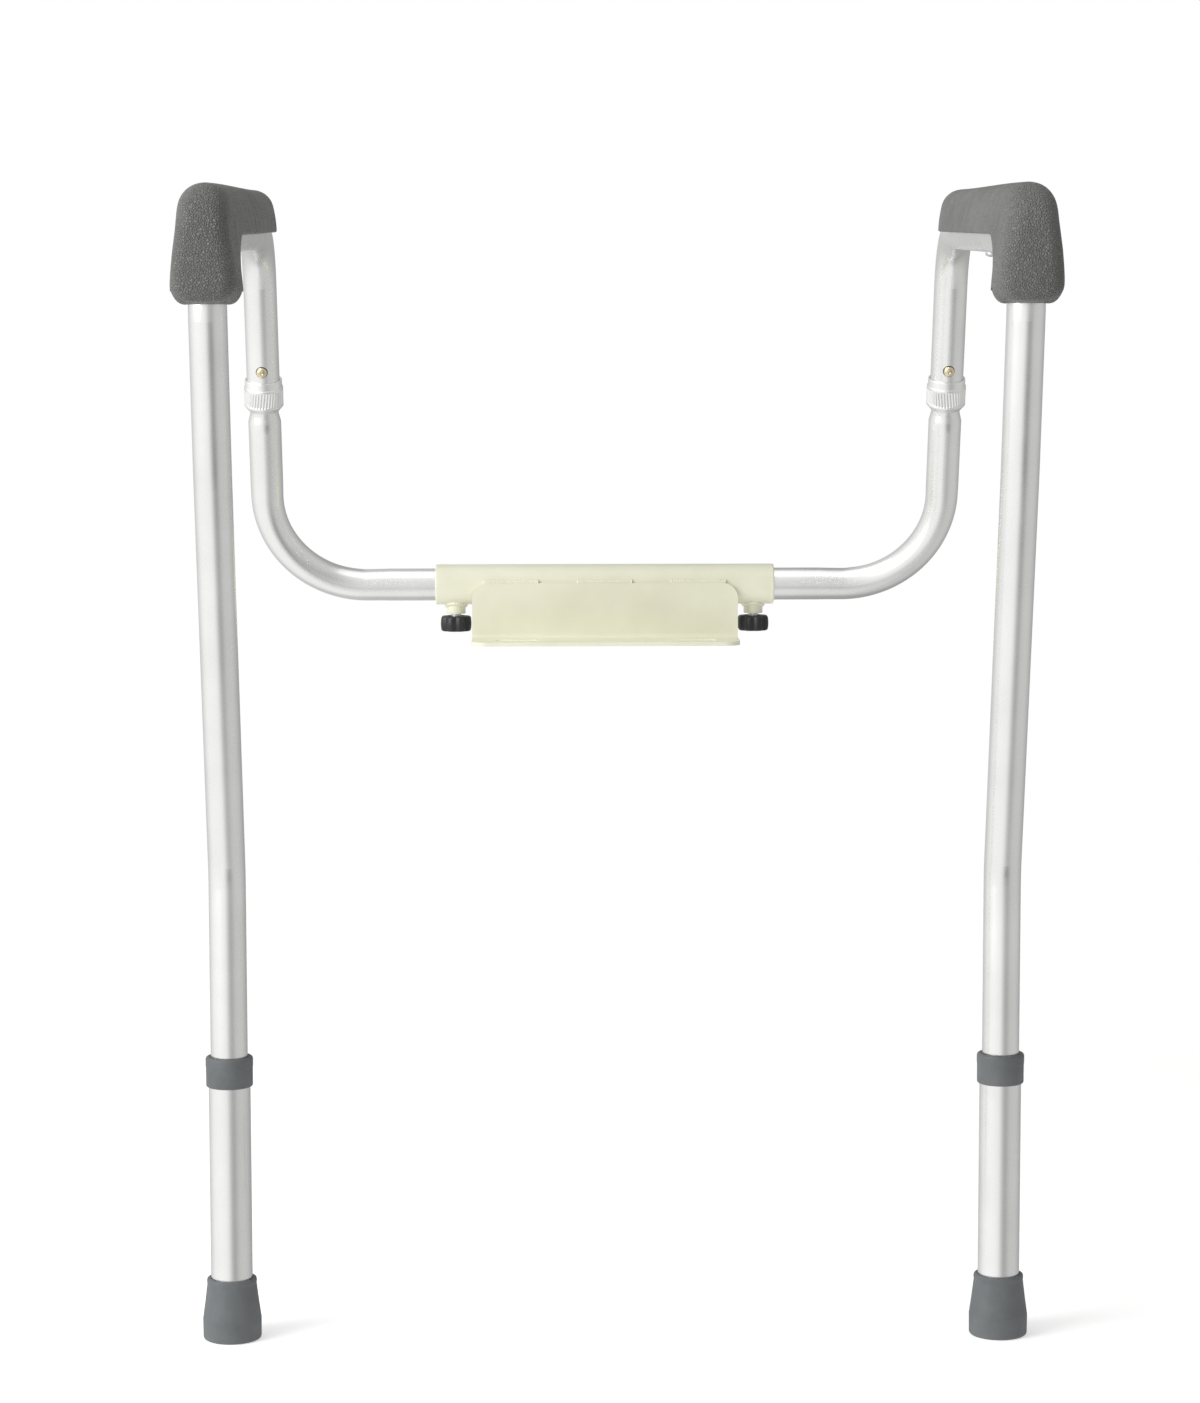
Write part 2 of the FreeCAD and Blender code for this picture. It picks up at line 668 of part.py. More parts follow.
def snap_spring(side, which):
    """Folded leaf spring: one leaf behind the button, the other along the far wall of the bore."""
    spot = BUTTONS[which]
    where = {"x": side_x(side), "y": spot["y"], "z": spot["z"], "turn": spot["turn"]}
    body = new_body(f"{side}_{which}_snap_spring", **where)
    upper = f"{spot['seat']} - flange_thickness - fit_gap"
    lower = f"-({spot['bore']} - strip_tail_sink)"
    skin = "strip_thickness"
    inside = f"strip_fold_radius - {skin}"
    outline = new_sketch(body, "YZ_Plane", "outline")
    draw_outline(outline, [
        ("strip_tip", upper),
        ("-strip_bend", upper, "strip_bend_radius"),
        ("-strip_fold", "strip_fold_top", "strip_fold_radius"),
        ("-strip_fold", "-strip_fold_depth", "strip_fold_radius"),
        ("strip_tail", lower),
        ("strip_tail", f"{lower} + {skin}"),
        (f"-strip_fold + {skin}", f"-strip_fold_depth + {skin}", inside),
        (f"-strip_fold + {skin}", f"strip_fold_top - {skin} * 0.6", inside),
        ("-strip_bend + 2 * fit_gap", f"{upper} - {skin}", f"strip_bend_radius - {skin}"),
        ("strip_tip", f"{upper} - {skin}"),
    ])
    pad(body, outline, "strip_width", symmetric=True)


# ---------------------------------------------------------------- rear tube and its lock

def in_rear_frame(side):
    """Where a body goes whose Z is the rear tube's axis, with its origin at the socket's level."""
    return {"x": side_x(side), "y": "socket_setback", "z": "socket_rise", "turn": "rear_tilt"}


def rear_tube(side):
    """Drops behind the toilet and bends inwards to the bracket. Its top is swaged down to fit the arm tube."""
    body = new_body(f"{side}_rear_tube", **in_rear_frame(side))
    path = new_sketch(body, "XZ_Plane", "path")
    inner_end = f"{-SIDES[side]} * (half_span - rear_end_offset)"
    draw_outline(path, [("0", "neck_base"), ("0", "0", "rear_bend_radius"), (inner_end, "0")], closed=False)
    ring = new_sketch(body, "XY_Plane", "section", lift="neck_base")
    draw_circle(ring, "tube_diameter", name="outer")
    draw_circle(ring, TUBE_BORE, name="inner")
    sweep(body, "AdditivePipe", ring, path, "tube")
    shoulder = "neck_base + neck_length"
    revolve(body, [
        (f"{TUBE_BORE} / 2", "neck_base"),
        ("tube_diameter / 2", "neck_base"),
        ("spigot_diameter / 2", shoulder, "neck_radius"),
        ("spigot_diameter / 2", "spigot_top", "0.6"),
        (f"{SPIGOT_BORE} / 2", "spigot_top"),
        (f"{SPIGOT_BORE} / 2", shoulder),
    ], "spigot")
    hole = new_sketch(body, "XZ_Plane", "hole_outline")
    draw_circle(hole, "button_hole", y=REAR_BUTTON)
    cut(body, hole, "tube_diameter", reverse=True, name="hole")


def lock_collar(side):
    """Knurled nut on the arm tube's end. Its flutes slant opposite ways on the two sides."""
    body = new_body(f"{side}_lock_collar", **in_rear_frame(side))
    bore = f"{LEG_BORE} / 2"
    mouth = "spigot_diameter / 2 + 4 * fit_gap"
    band_base = "collar_base + collar_chamfer"
    band_top = f"{band_base} + collar_band"
    revolve(body, [
        (mouth, "collar_base"),
        ("collar_mouth_diameter / 2", "collar_base"),
        ("collar_diameter / 2", band_base, "1.2"),
        ("collar_diameter / 2", band_top, "0.5"),
        ("collar_top_diameter / 2", band_top),
        ("collar_top_diameter / 2", COLLAR_TOP, "0.6"),
        (bore, COLLAR_TOP),
        (bore, "collar_base + collar_lip"),
        (mouth, "collar_base + collar_lip"),
    ])
    flute = new_sketch(body, "XZ_Plane", "flute_outline", lift="collar_diameter / 2 - flute_depth")
    middle = f"({band_base} + collar_band / 2)"
    rise = "(collar_band / 2 - flute_margin)"
    lean = f"{SIDES[side]} * tan(flute_slant * 1deg) * {rise}"
    draw_outline(flute, [
        (f"-{lean} - flute_width / 2", f"{middle} - {rise}"),
        (f"-{lean} + flute_width / 2", f"{middle} - {rise}"),
        (f"{lean} + flute_width / 2", f"{middle} + {rise}"),
        (f"{lean} - flute_width / 2", f"{middle} + {rise}"),
    ])
    polar(body, cut(body, flute, "6 * flute_depth", reverse=True, name="flute"), "flute_count")


def collar_ferrule(side):
    """Split nylon ring that the collar's lip squeezes onto the spigot."""
    body = new_body(f"{side}_collar_ferrule", **in_rear_frame(side))
    inner = "spigot_diameter / 2 + running_gap"
    base = "collar_base + collar_lip + fit_gap"
    revolve(body, [
        (inner, base),
        ("tube_diameter / 2", base),
        ("tube_diameter / 2", f"{base} + ferrule_length"),
        (inner, f"{base} + ferrule_length"),
    ])
    slit = new_sketch(body, "XZ_Plane", "slit_outline")
    draw_outline(slit, [
        ("-ferrule_slit / 2", f"{base} - 1"),
        ("ferrule_slit / 2", f"{base} - 1"),
        ("ferrule_slit / 2", f"{base} + ferrule_length + 1"),
        ("-ferrule_slit / 2", f"{base} + ferrule_length + 1"),
    ])
    cut(body, slit, "tube_diameter", name="slit")


# ---------------------------------------------------------------- bracket

def bracket_tube():
    """Cross tube whose open ends take the rear tubes."""
    body = new_body("bracket_tube", y="socket_setback", z="socket_rise")
    ring = new_sketch(body, "YZ_Plane", "section")
    draw_circle(ring, "socket_diameter", name="outer")
    draw_circle(ring, "socket_diameter - 2 * tube_wall", name="inner")
    pad(body, ring, "2 * (socket_reach - bush_flange)", symmetric=True)
    holes = new_sketch(body, "XY_Plane", "screw_hole_outline")
    for side, sign in SIDES.items():
        draw_circle(holes, "clamp_screw_hole", x=f"{sign} * clamp_offset", name=side)
    cut(body, holes, "socket_diameter", name="screw_holes")


def bracket_plate():
    """Bent plate: a flat with a slot for each seat bolt, and an upright that the cross tube is welded to."""
    body = new_body("bracket_plate")
    back = "(socket_setback - socket_diameter / 2 - weld_gap)"
    outline = new_sketch(body, "YZ_Plane", "outline")
    draw_outline(outline, [
        ("-plate_front", "0"),
        (back, "0", "2 * plate_thickness"),
        (back, "plate_height"),
        (f"{back} - plate_thickness", "plate_height"),
        (f"{back} - plate_thickness", "plate_thickness", "plate_thickness"),
        ("-plate_front", "plate_thickness"),
    ])
    pad(body, outline, "plate_width", symmetric=True)
    half = measure("plate_width") / 2
    front = -measure("plate_front")
    top = measure("plate_height")

    def outer_corner(edge):
        middle = edge.valueAt((edge.FirstParameter + edge.LastParameter) / 2)
        short = abs(edge.Length - measure("plate_thickness")) < 1e-6
        at_tip = abs(middle.y - front) < 1e-6 or abs(middle.z - top) < 1e-6
        return short and abs(abs(middle.x) - half) < 1e-6 and at_tip

    soften(body, "plate_corner_radius", outer_corner, "round_corners")
    slots = new_sketch(body, "XY_Plane", "slot_outline")
    for side, sign in SIDES.items():
        draw_slot(slots, f"{sign} * slot_spacing / 2", "slot_length", "slot_width", side)
    cut(body, slots, "plate_thickness + 1", reverse=True, name="slots")


def socket_bush(side):
    """Nylon lining of one open end, with a flange that finishes the socket."""
    sign = SIDES[side]
    body = new_body(f"{side}_socket_bush", x=f"{sign} * socket_reach", y="socket_setback", z="socket_rise",
                    turn=f"{-90 * sign}", axis=(0, 1, 0))
    bore = f"{LEG_BORE} / 2"
    lining = "socket_diameter / 2 - tube_wall - weld_gap"
    revolve(body, [
        (bore, "0"),
        ("socket_diameter / 2", "0", "1"),
        ("socket_diameter / 2", "bush_flange"),
        (lining, "bush_flange"),
        (lining, "bush_length"),
        (bore, "bush_length"),
    ])
    hole = new_sketch(body, "YZ_Plane", "screw_hole_outline")
    draw_circle(hole, "clamp_screw_hole", y="socket_reach - clamp_offset")
    cut(body, hole, "socket_diameter", reverse=sign < 0, name="screw_hole")


def clamp_nut(side):
    """Round weld nut under the cross tube, saddled to fit it."""
    body = new_body(f"{side}_clamp_nut", x=f"{SIDES[side]} * clamp_offset", y="socket_setback")
    ring = new_sketch(body, "XY_Plane", "section", lift="clamp_nut_base")
    draw_circle(ring, "clamp_nut_diameter", name="outer")
    draw_circle(ring, "clamp_screw_diameter + thread_gap", name="inner")
    pad(body, ring, "socket_rise - clamp_nut_base")
    saddle = new_sketch(body, "YZ_Plane", "saddle_outline")
    draw_circle(saddle, "socket_diameter + 2 * weld_gap", y="socket_rise")
    cut(body, saddle, "clamp_nut_diameter + 2", symmetric=True, name="saddle")


TIP_TOP = "(socket_rise - tube_diameter / 2 - fit_gap)"
TIP_BASE = f"({TIP_TOP} - tip_height)"


def clamp_screw(side):
    """Threaded shank from the knob up to the tip, with a socket for the tip's stem."""
    body = new_body(f"{side}_clamp_screw", x=f"{SIDES[side]} * clamp_offset", y="socket_setback")
    radius = "clamp_screw_diameter / 2"
    foot_of_screw = "knob_base + knob_floor"
    stem_hole = "tip_stem_diameter / 2 + 2 * fit_gap"
    floor = f"{TIP_BASE} - tip_stem_length - 3 * fit_gap"
    revolve(body, [
        ("0", foot_of_screw),
        (radius, foot_of_screw),
        (radius, f"{TIP_BASE} - fit_gap", "0.6"),
        (stem_hole, f"{TIP_BASE} - fit_gap"),
        (stem_hole, floor),
        ("0", floor),
    ])


def clamp_tip(side):
    """Brass pad that presses on the rear tube without turning with the screw."""
    body = new_body(f"{side}_clamp_tip", x=f"{SIDES[side]} * clamp_offset", y="socket_setback")
    revolve(body, [
        ("0", f"{TIP_BASE} - tip_stem_length"),
        ("tip_stem_diameter / 2", f"{TIP_BASE} - tip_stem_length"),
        ("tip_stem_diameter / 2", TIP_BASE),
        ("tip_diameter / 2", TIP_BASE),
        ("tip_diameter / 2", TIP_TOP, "0.6"),
        ("0", TIP_TOP),
    ])


def clamp_knob(side):
    """Lobed hand knob moulded round the screw's lower end."""
    body = new_body(f"{side}_clamp_knob", x=f"{SIDES[side]} * clamp_offset", y="socket_setback")
    bore = "clamp_screw_diameter / 2 + weld_gap"
    socket_floor = "knob_base + knob_floor - weld_gap"
    revolve(body, [
        ("0", "knob_base"),
        ("knob_diameter / 2", "knob_base", "knob_edge_radius"),
        ("knob_diameter / 2", "knob_base + knob_height", "knob_edge_radius"),
        (bore, "knob_base + knob_height"),
        (bore, socket_floor),
        ("0", socket_floor),
    ])
    scallop = new_sketch(body, "XY_Plane", "scallop_outline", lift="knob_base - 1")
    draw_circle(scallop, "scallop_diameter", y="knob_diameter / 2 + scallop_offset")
    polar(body, cut(body, scallop, "knob_height + 2", reverse=True, name="scallop"), "scallop_count")


# ---------------------------------------------------------------- build, check and write

bracket_plate()
bracket_tube()
for side in SIDES:
    for make in (socket_bush, clamp_nut, clamp_screw, clamp_tip, clamp_knob, rear_tube, lock_collar,
                 collar_ferrule, arm_tube, arm_pad, pad_insert, pad_screws, leg_extension, leg_ring,
                 foot, foot_washer):
        make(side)
    for which in BUTTONS:
        snap_button(side, which)
        snap_spring(side, which)
doc.recompute()

for thing in doc.Objects:
    if {"Invalid", "Error"} & set(thing.State):
        raise RuntimeError(f"{thing.Label} did not recompute: {thing.State}")
for thing in subparts:
    if thing.Shape.isNull() or not thing.Shape.isValid():
        raise RuntimeError(f"{thing.Label} has no valid shape")

os.makedirs("parts", exist_ok=True)
for thing in subparts:
    thing.Shape.exportStep(f"parts/{thing.Label}.step")
    print(f"{thing.Label}: {len(thing.Shape.Solids)} solid, {thing.Shape.Volume / 1000:.2f} cm3")
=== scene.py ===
"""Toilet safety frame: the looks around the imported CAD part.

Everything is in metres, in the CAD's frame: X across the toilet, Y to the back, Z up, and the origin under
the middle of the bracket plate. "left" is the side at -X.
"""

import math

import bmesh
import bpy
from mathutils import Matrix, Vector


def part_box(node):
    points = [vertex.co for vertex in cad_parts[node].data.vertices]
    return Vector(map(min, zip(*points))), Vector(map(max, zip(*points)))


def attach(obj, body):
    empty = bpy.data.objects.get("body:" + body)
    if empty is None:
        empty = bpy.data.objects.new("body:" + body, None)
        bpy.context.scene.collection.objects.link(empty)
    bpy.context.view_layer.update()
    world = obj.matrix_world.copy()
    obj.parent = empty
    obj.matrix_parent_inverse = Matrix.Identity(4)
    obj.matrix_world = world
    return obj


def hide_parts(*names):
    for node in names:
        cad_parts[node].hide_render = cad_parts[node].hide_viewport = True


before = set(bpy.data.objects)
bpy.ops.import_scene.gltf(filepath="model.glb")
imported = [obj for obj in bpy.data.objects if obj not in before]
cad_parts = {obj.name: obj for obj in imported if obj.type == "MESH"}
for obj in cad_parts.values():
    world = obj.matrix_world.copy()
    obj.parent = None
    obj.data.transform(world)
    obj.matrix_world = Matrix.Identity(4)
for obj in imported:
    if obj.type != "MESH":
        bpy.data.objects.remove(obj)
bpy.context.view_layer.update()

SIDES = {"left": -1, "right": 1}
MM = 0.001
FULL_TURN = 2 * math.pi

# ---------------------------------------------------------------- sizes shared with the CAD

TUBE_RADIUS = 12.7 * MM
TUBE_WALL = 1.5 * MM
SPIGOT_RADIUS = 11.1 * MM
REAR_TILT = math.radians(18)
REAR_BEND_RADIUS = 76 * MM
REAR_INNER_END = 34 * MM
NECK_BASE = 137.5 * MM
SPIGOT_TOP = 231 * MM
COLLAR_BASE = 147 * MM
COLLAR_LENGTH = 25.2 * MM
REAR_BUTTON_ALONG = 181.5 * MM
FRONT_CORNER = Vector((-489 * MM, 307.5 * MM))
FRONT_BEND_RADIUS = 45 * MM
REAR_CORNER = Vector((-47.4 * MM, 319 * MM))
LEAN_POINT = Vector((-458 * MM, 154 * MM))

FLOOR_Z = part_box("left_foot")[0].z
LEG_Y = sum(corner.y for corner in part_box("left_foot")) / 2
SOCKET_Y = sum(corner.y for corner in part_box("bracket_tube")) / 2
SOCKET_Z = sum(corner.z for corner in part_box("bracket_tube")) / 2


def side_x(side):
    """Where the side's leg, arm and rear tube stand."""
    return sum(corner.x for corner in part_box(f"{side}_foot")) / 2


# ---------------------------------------------------------------- material nodes

def start_material(name, **constants):
    """A new material, with the constant values set on the shader's own sockets."""
    material = bpy.data.materials.new(name)
    material.use_nodes = True
    shader = material.node_tree.nodes["Principled BSDF"]
    for socket, value in constants.items():
        shader.inputs[socket.replace("_", " ")].default_value = value
    return material, material.node_tree, shader


def surface_position(tree, stretch=(1, 1, 1)):
    """The point on the piece, in metres, scaled along each axis."""
    coordinates = tree.nodes.new("ShaderNodeTexCoord")
    mapping = tree.nodes.new("ShaderNodeMapping")
    mapping.inputs["Scale"].default_value = stretch
    tree.links.new(coordinates.outputs["Object"], mapping.inputs["Vector"])
    return mapping.outputs["Vector"]


def noise(tree, position, scale, detail=3.0, roughness=0.5):
    node = tree.nodes.new("ShaderNodeTexNoise")
    node.inputs["Scale"].default_value = scale
    node.inputs["Detail"].default_value = detail
    node.inputs["Roughness"].default_value = roughness
    tree.links.new(position, node.inputs["Vector"])
    return node.outputs["Fac"]


def cells(tree, position, scale, feature="F1", randomness=1.0):
    node = tree.nodes.new("ShaderNodeTexVoronoi")
    node.feature = feature
    node.inputs["Scale"].default_value = scale
    node.inputs["Randomness"].default_value = randomness
    tree.links.new(position, node.inputs["Vector"])
    return node.outputs["Distance"]


def spread(tree, value, low, high, start=0.3, end=0.7):
    """A value from a pattern, mapped from start..end to low..high."""
    node = tree.nodes.new("ShaderNodeMapRange")
    for socket, number in (("From Min", start), ("From Max", end), ("To Min", low), ("To Max", high)):
        node.inputs[socket].default_value = number
    tree.links.new(value, node.inputs["Value"])
    return node.outputs["Result"]


def combine(tree, operation, first, second):
    node = tree.nodes.new("ShaderNodeMath")
    node.operation = operation
    for i, term in enumerate((first, second)):
        if isinstance(term, (int, float)):
            node.inputs[i].default_value = term
        else:
            tree.links.new(term, node.inputs[i])
    return node.outputs["Value"]


def tint(tree, shader, value, stops):
    """Colour the surface from a pattern, through a ramp of (position, colour) stops."""
    ramp = tree.nodes.new("ShaderNodeValToRGB")
    elements = ramp.color_ramp.elements
    while len(elements) < len(stops):
        elements.new(0.5)
    for element, (position, colour) in zip(elements, stops):
        element.position = position
        element.color = (*colour, 1)
    tree.links.new(value, ramp.inputs["Fac"])
    tree.links.new(ramp.outputs["Color"], shader.inputs["Base Color"])


def bump(tree, shader, layers):
    """Relief from a list of (pattern, depth in metres, strength), each laid over the last."""
    normal = None
    for value, depth, strength in layers:
        node = tree.nodes.new("ShaderNodeBump")
        node.inputs["Distance"].default_value = depth
        node.inputs["Strength"].default_value = strength
        tree.links.new(value, node.inputs["Height"])
        if normal is not None:
            tree.links.new(normal, node.inputs["Normal"])
        normal = node.outputs["Normal"]
    tree.links.new(normal, shader.inputs["Normal"])


# ---------------------------------------------------------------- materials

def satin_aluminium(name, light, dark, rough):
    """Bead-blasted and anodised: a fine even grain, faint drawing lines and a slightly uneven sheen."""
    material, tree, shader = start_material(name, Metallic=1.0)
    position = surface_position(tree)
    drawn = surface_position(tree, (1, 1, 0.02))
    clouds = noise(tree, position, 24, 4)
    tint(tree, shader, clouds, ((0.3, dark), (0.7, light)))
    streaks = noise(tree, drawn, 900, 2)
    patches = spread(tree, clouds, -0.015, 0.02)
    mottle = combine(tree, "ADD", patches, spread(tree, streaks, -0.01, 0.015))
    tree.links.new(combine(tree, "ADD", mottle, rough), shader.inputs["Roughness"])
    bump(tree, shader, [(streaks, 0.000006, 0.05), (noise(tree, position, 1100, 2), 0.000008, 0.05)])
    return material


def moulded_foam():
    """Integral-skin foam with a pebbled leather grain, with painted shade darkening the creases between the
    pebbles.
    """
    material, tree, shader = start_material("moulded_foam", Specular_IOR_Level=0.42)
    position = surface_position(tree)
    pebbles = cells(tree, position, 560, "F1", 0.95)
    creases = cells(tree, position, 560, "DISTANCE_TO_EDGE", 0.95)
    clouds = noise(tree, position, 18, 4)
    # painted shade: the colour is darkened along the creases between the pebbles, on top of the random tone
    painted_crease_shade = spread(tree, creases, -0.35, 0.1, 0.0, 0.3)
    shade = combine(tree, "ADD", spread(tree, clouds, 0.25, 0.75), painted_crease_shade)
    tint(tree, shader, shade, (
        (0.0, (0.145, 0.145, 0.139)),
        (0.5, (0.200, 0.200, 0.191)),
        (1.0, (0.240, 0.240, 0.230)),
    ))
    scuffs = noise(tree, position, 60, 5, 0.6)
    tree.links.new(spread(tree, scuffs, 0.34, 0.50), shader.inputs["Roughness"])
    bump(tree, shader, [
        (noise(tree, position, 150, 3), 0.0004, 0.35),
        (spread(tree, creases, 0.0, 1.0, 0.0, 0.3), 0.0008, 1.0),
        (pebbles, 0.0003, 0.5),
        (noise(tree, position, 2600, 2), 0.00004, 0.4),
    ])
    return material


def grey_rubber():
    """Matt vulcanised rubber, paler where it has bloomed."""
    material, tree, shader = start_material("grey_rubber", Specular_IOR_Level=0.45)
    position = surface_position(tree)
    bloom = noise(tree, position, 55, 5, 0.6)
    tint(tree, shader, bloom, (
        (0.25, (0.112, 0.120, 0.125)),
        (0.6, (0.138, 0.147, 0.152)),
        (0.85, (0.159, 0.168, 0.172)),
    ))
    tree.links.new(spread(tree, noise(tree, position, 130, 3), 0.46, 0.62), shader.inputs["Roughness"])
    bump(tree, shader, [
        (noise(tree, position, 420, 3), 0.00006, 0.4),
        (noise(tree, position, 2400, 2), 0.00003, 0.5),
    ])
    return material


def cream_paint():
    """Powder coat with its fine orange peel."""
    material, tree, shader = start_material("cream_paint", Coat_Weight=0.25, Coat_Roughness=0.2)
    position = surface_position(tree)
    clouds = noise(tree, position, 30, 4)
    tint(tree, shader, clouds, ((0.3, (0.84, 0.83, 0.65)), (0.7, (0.90, 0.89, 0.71))))
    tree.links.new(spread(tree, noise(tree, position, 200, 3), 0.32, 0.44), shader.inputs["Roughness"])
    bump(tree, shader, [(noise(tree, position, 520, 2), 0.00008, 0.5)])
    return material


def plastic(name, dark, light, rough, grain_depth):
    """Moulded plastic with a fine spark-eroded texture."""
    material, tree, shader = start_material(name, Specular_IOR_Level=0.5)
    position = surface_position(tree)
    tint(tree, shader, noise(tree, position, 40, 4), ((0.3, dark), (0.7, light)))
    rough_map = spread(tree, noise(tree, position, 170, 3), rough - 0.06, rough + 0.06)
    tree.links.new(rough_map, shader.inputs["Roughness"])
    bump(tree, shader, [(noise(tree, position, 1900, 3), grain_depth, 0.6)])
    return material


def bright_metal(name, dark, light, rough, grain=900):
    """Plated or bare metal with a cloudy sheen and fine scratches."""
    material, tree, shader = start_material(name, Metallic=1.0)
    position = surface_position(tree)
    patches = cells(tree, position, grain, "F1", 1.0)
    tint(tree, shader, patches, ((0.1, dark), (0.8, light)))
    scratches = noise(tree, surface_position(tree, (1, 6, 0.3)), 500, 4, 0.6)
    tree.links.new(spread(tree, scratches, rough - 0.07, rough + 0.09), shader.inputs["Roughness"])
    bump(tree, shader, [(scratches, 0.00002, 0.4)])
    return material


ALUMINIUM = satin_aluminium("satin_aluminium", (0.90, 0.90, 0.89), (0.84, 0.84, 0.83), 0.27)
COLLAR_ALUMINIUM = satin_aluminium("collar_aluminium", (0.93, 0.93, 0.92), (0.87, 0.87, 0.86), 0.36)
FOAM = moulded_foam()
RUBBER = grey_rubber()
CREAM = cream_paint()
CREAM_NYLON = plastic("cream_nylon", (0.86, 0.85, 0.68), (0.91, 0.90, 0.73), 0.42, 0.00002)
NYLON = plastic("nylon", (0.70, 0.69, 0.64), (0.78, 0.77, 0.72), 0.38, 0.00002)
BLACK_PLASTIC = plastic("black_plastic", (0.012, 0.012, 0.013), (0.020, 0.020, 0.022), 0.42, 0.00005)
BRASS = bright_metal("brass", (0.66, 0.56, 0.36), (0.78, 0.70, 0.50), 0.20)
ZINC = bright_metal("zinc_steel", (0.58, 0.59, 0.61), (0.70, 0.71, 0.72), 0.30, 350)
SPRING_STEEL = bright_metal("spring_steel", (0.34, 0.35, 0.37), (0.46, 0.47, 0.49), 0.28)

SLOT_MATERIALS = {
    "aluminium": ALUMINIUM,
    "collar_aluminium": COLLAR_ALUMINIUM,
    "pad_foam": FOAM,
    "grey_rubber": RUBBER,
    "cream_steel": CREAM,
    "cream_nylon": CREAM_NYLON,
    "nylon": NYLON,
    "black_plastic": BLACK_PLASTIC,
    "brass": BRASS,
    "zinc_steel": ZINC,
    "spring_steel": SPRING_STEEL,
}


# ---------------------------------------------------------------- mesh helpers

def add_piece(name, points, faces, body, slot, sharp=32, smooth_levels=0):
    """A mesh piece that rides on a body, with the material of its slot."""
    mesh = bpy.data.meshes.new(name)
    mesh.from_pydata([tuple(p) for p in points], [], faces)
    build = bmesh.new()
    build.from_mesh(mesh)
    bmesh.ops.remove_doubles(build, verts=build.verts, dist=1e-6)
    bmesh.ops.recalc_face_normals(build, faces=build.faces)
    build.to_mesh(mesh)
    build.free()
    mesh.shade_smooth()
    if not smooth_levels:
        mesh.set_sharp_from_angle(angle=math.radians(sharp))
    mesh.materials.append(SLOT_MATERIALS[slot])
    piece = bpy.data.objects.new(name, mesh)
    bpy.context.scene.collection.objects.link(piece)
    if smooth_levels:
        modifier = piece.modifiers.new("smooth", "SUBSURF")
        modifier.levels = smooth_levels
        modifier.render_levels = smooth_levels
    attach(piece, body)
    return piece


def grid_faces(rings, around, loop_rings=False):
    """Quads between rings of points that are listed one ring after another."""
    faces = []
    for i in range(rings if loop_rings else rings - 1):
        following = (i + 1) % rings
        for j in range(around):
            beside = (j + 1) % around
            here, there = i * around, following * around
            faces.append((here + j, here + beside, there + beside, there + j))
    return faces


def rounded(corners, steps=5, closed=True):
    """The points of an outline whose corners are (x, y) or (x, y, radius of the rounding)."""
    outline = []
    for i, corner in enumerate(corners):
        here = Vector(corner[:2])
        ends = not closed and i in (0, len(corners) - 1)
        if len(corner) < 3 or ends:
            outline.append(here)
            continue
        before = (Vector(corners[i - 1][:2]) - here).normalized()
        after = (Vector(corners[(i + 1) % len(corners)][:2]) - here).normalized()
        half = before.angle(after) / 2
        centre = here + (before + after).normalized() * (corner[2] / math.sin(half))
        reach = corner[2] / math.tan(half)
        start = here + before * reach - centre
        sweep = math.pi - 2 * half
        turn = 1 if before.cross(after) < 0 else -1
        for k in range(steps + 1):
            spin = Matrix.Rotation(turn * sweep * k / steps, 2)
            outline.append(centre + spin @ start)
    return outline


def rear_frame(side):
    """Stands on the rear tube's axis at the socket's level, with Z up the tube."""
    return Matrix.Translation((side_x(side), SOCKET_Y, SOCKET_Z)) @ Matrix.Rotation(REAR_TILT, 4, "X")


def lathe(name, outline, place, body, slot, segments=96, radius_at=None, sharp=32):
    """A turned piece, from an outline of (radius, height) points. radius_at may vary a radius round it."""
    points = []
    for radius, height in outline:
        for k in range(segments):
            angle = FULL_TURN * k / segments
            reach = radius_at(radius, height, angle) if radius_at else radius
            points.append(place @ Vector((reach * math.cos(angle), reach * math.sin(angle), height)))
    on_axis = outline[0][0] == 0 and outline[-1][0] == 0
    faces = grid_faces(len(outline), segments, loop_rings=not on_axis)
    return add_piece(name, points, faces, body, slot, sharp)


def scaled(corners, unit=MM):
    return [tuple(number * unit for number in corner) for corner in corners]


# ---------------------------------------------------------------- foam arm pad

PAD_REAR_Y = -121 * MM
PAD_DROP_Z = 264 * MM
PAD_RISE = 32 * MM
PAD_EDGE = 2 * MM
PAD_NOSE_RADIUS = 36 * MM
PAD_INNER_RADIUS = 39 * MM
PAD_NOSE_TURN = math.radians(66)
PAD_LIP = 1.1 * MM
GROOVE_RADIUS = TUBE_RADIUS + 0.05 * MM

ALONG_ARM = (FRONT_CORNER - REAR_CORNER).normalized()
ALONG_DROP = (LEAN_POINT - FRONT_CORNER).normalized()
ARM_NORMAL = Vector((ALONG_ARM.y, -ALONG_ARM.x))
DROP_NORMAL = Vector((ALONG_DROP.y, -ALONG_DROP.x))


def offset_line(offset, radius):
    """Where the side view's bent line, this far outside the tube's axis, starts, turns and ends."""
    corner = FRONT_CORNER + (ARM_NORMAL + DROP_NORMAL) * (offset / (1 + ARM_NORMAL.dot(DROP_NORMAL)))
    start = corner + ALONG_ARM * ((PAD_REAR_Y - corner.x) / ALONG_ARM.x)
    end = corner + ALONG_DROP * ((PAD_DROP_Z - corner.y) / ALONG_DROP.y)
    tangent = radius * math.tan(ALONG_ARM.angle(ALONG_DROP) / 2)
    turn_in = corner - ALONG_ARM * tangent
    centre = turn_in - ARM_NORMAL * radius
    return start, turn_in, centre, corner + ALONG_DROP * tangent, end


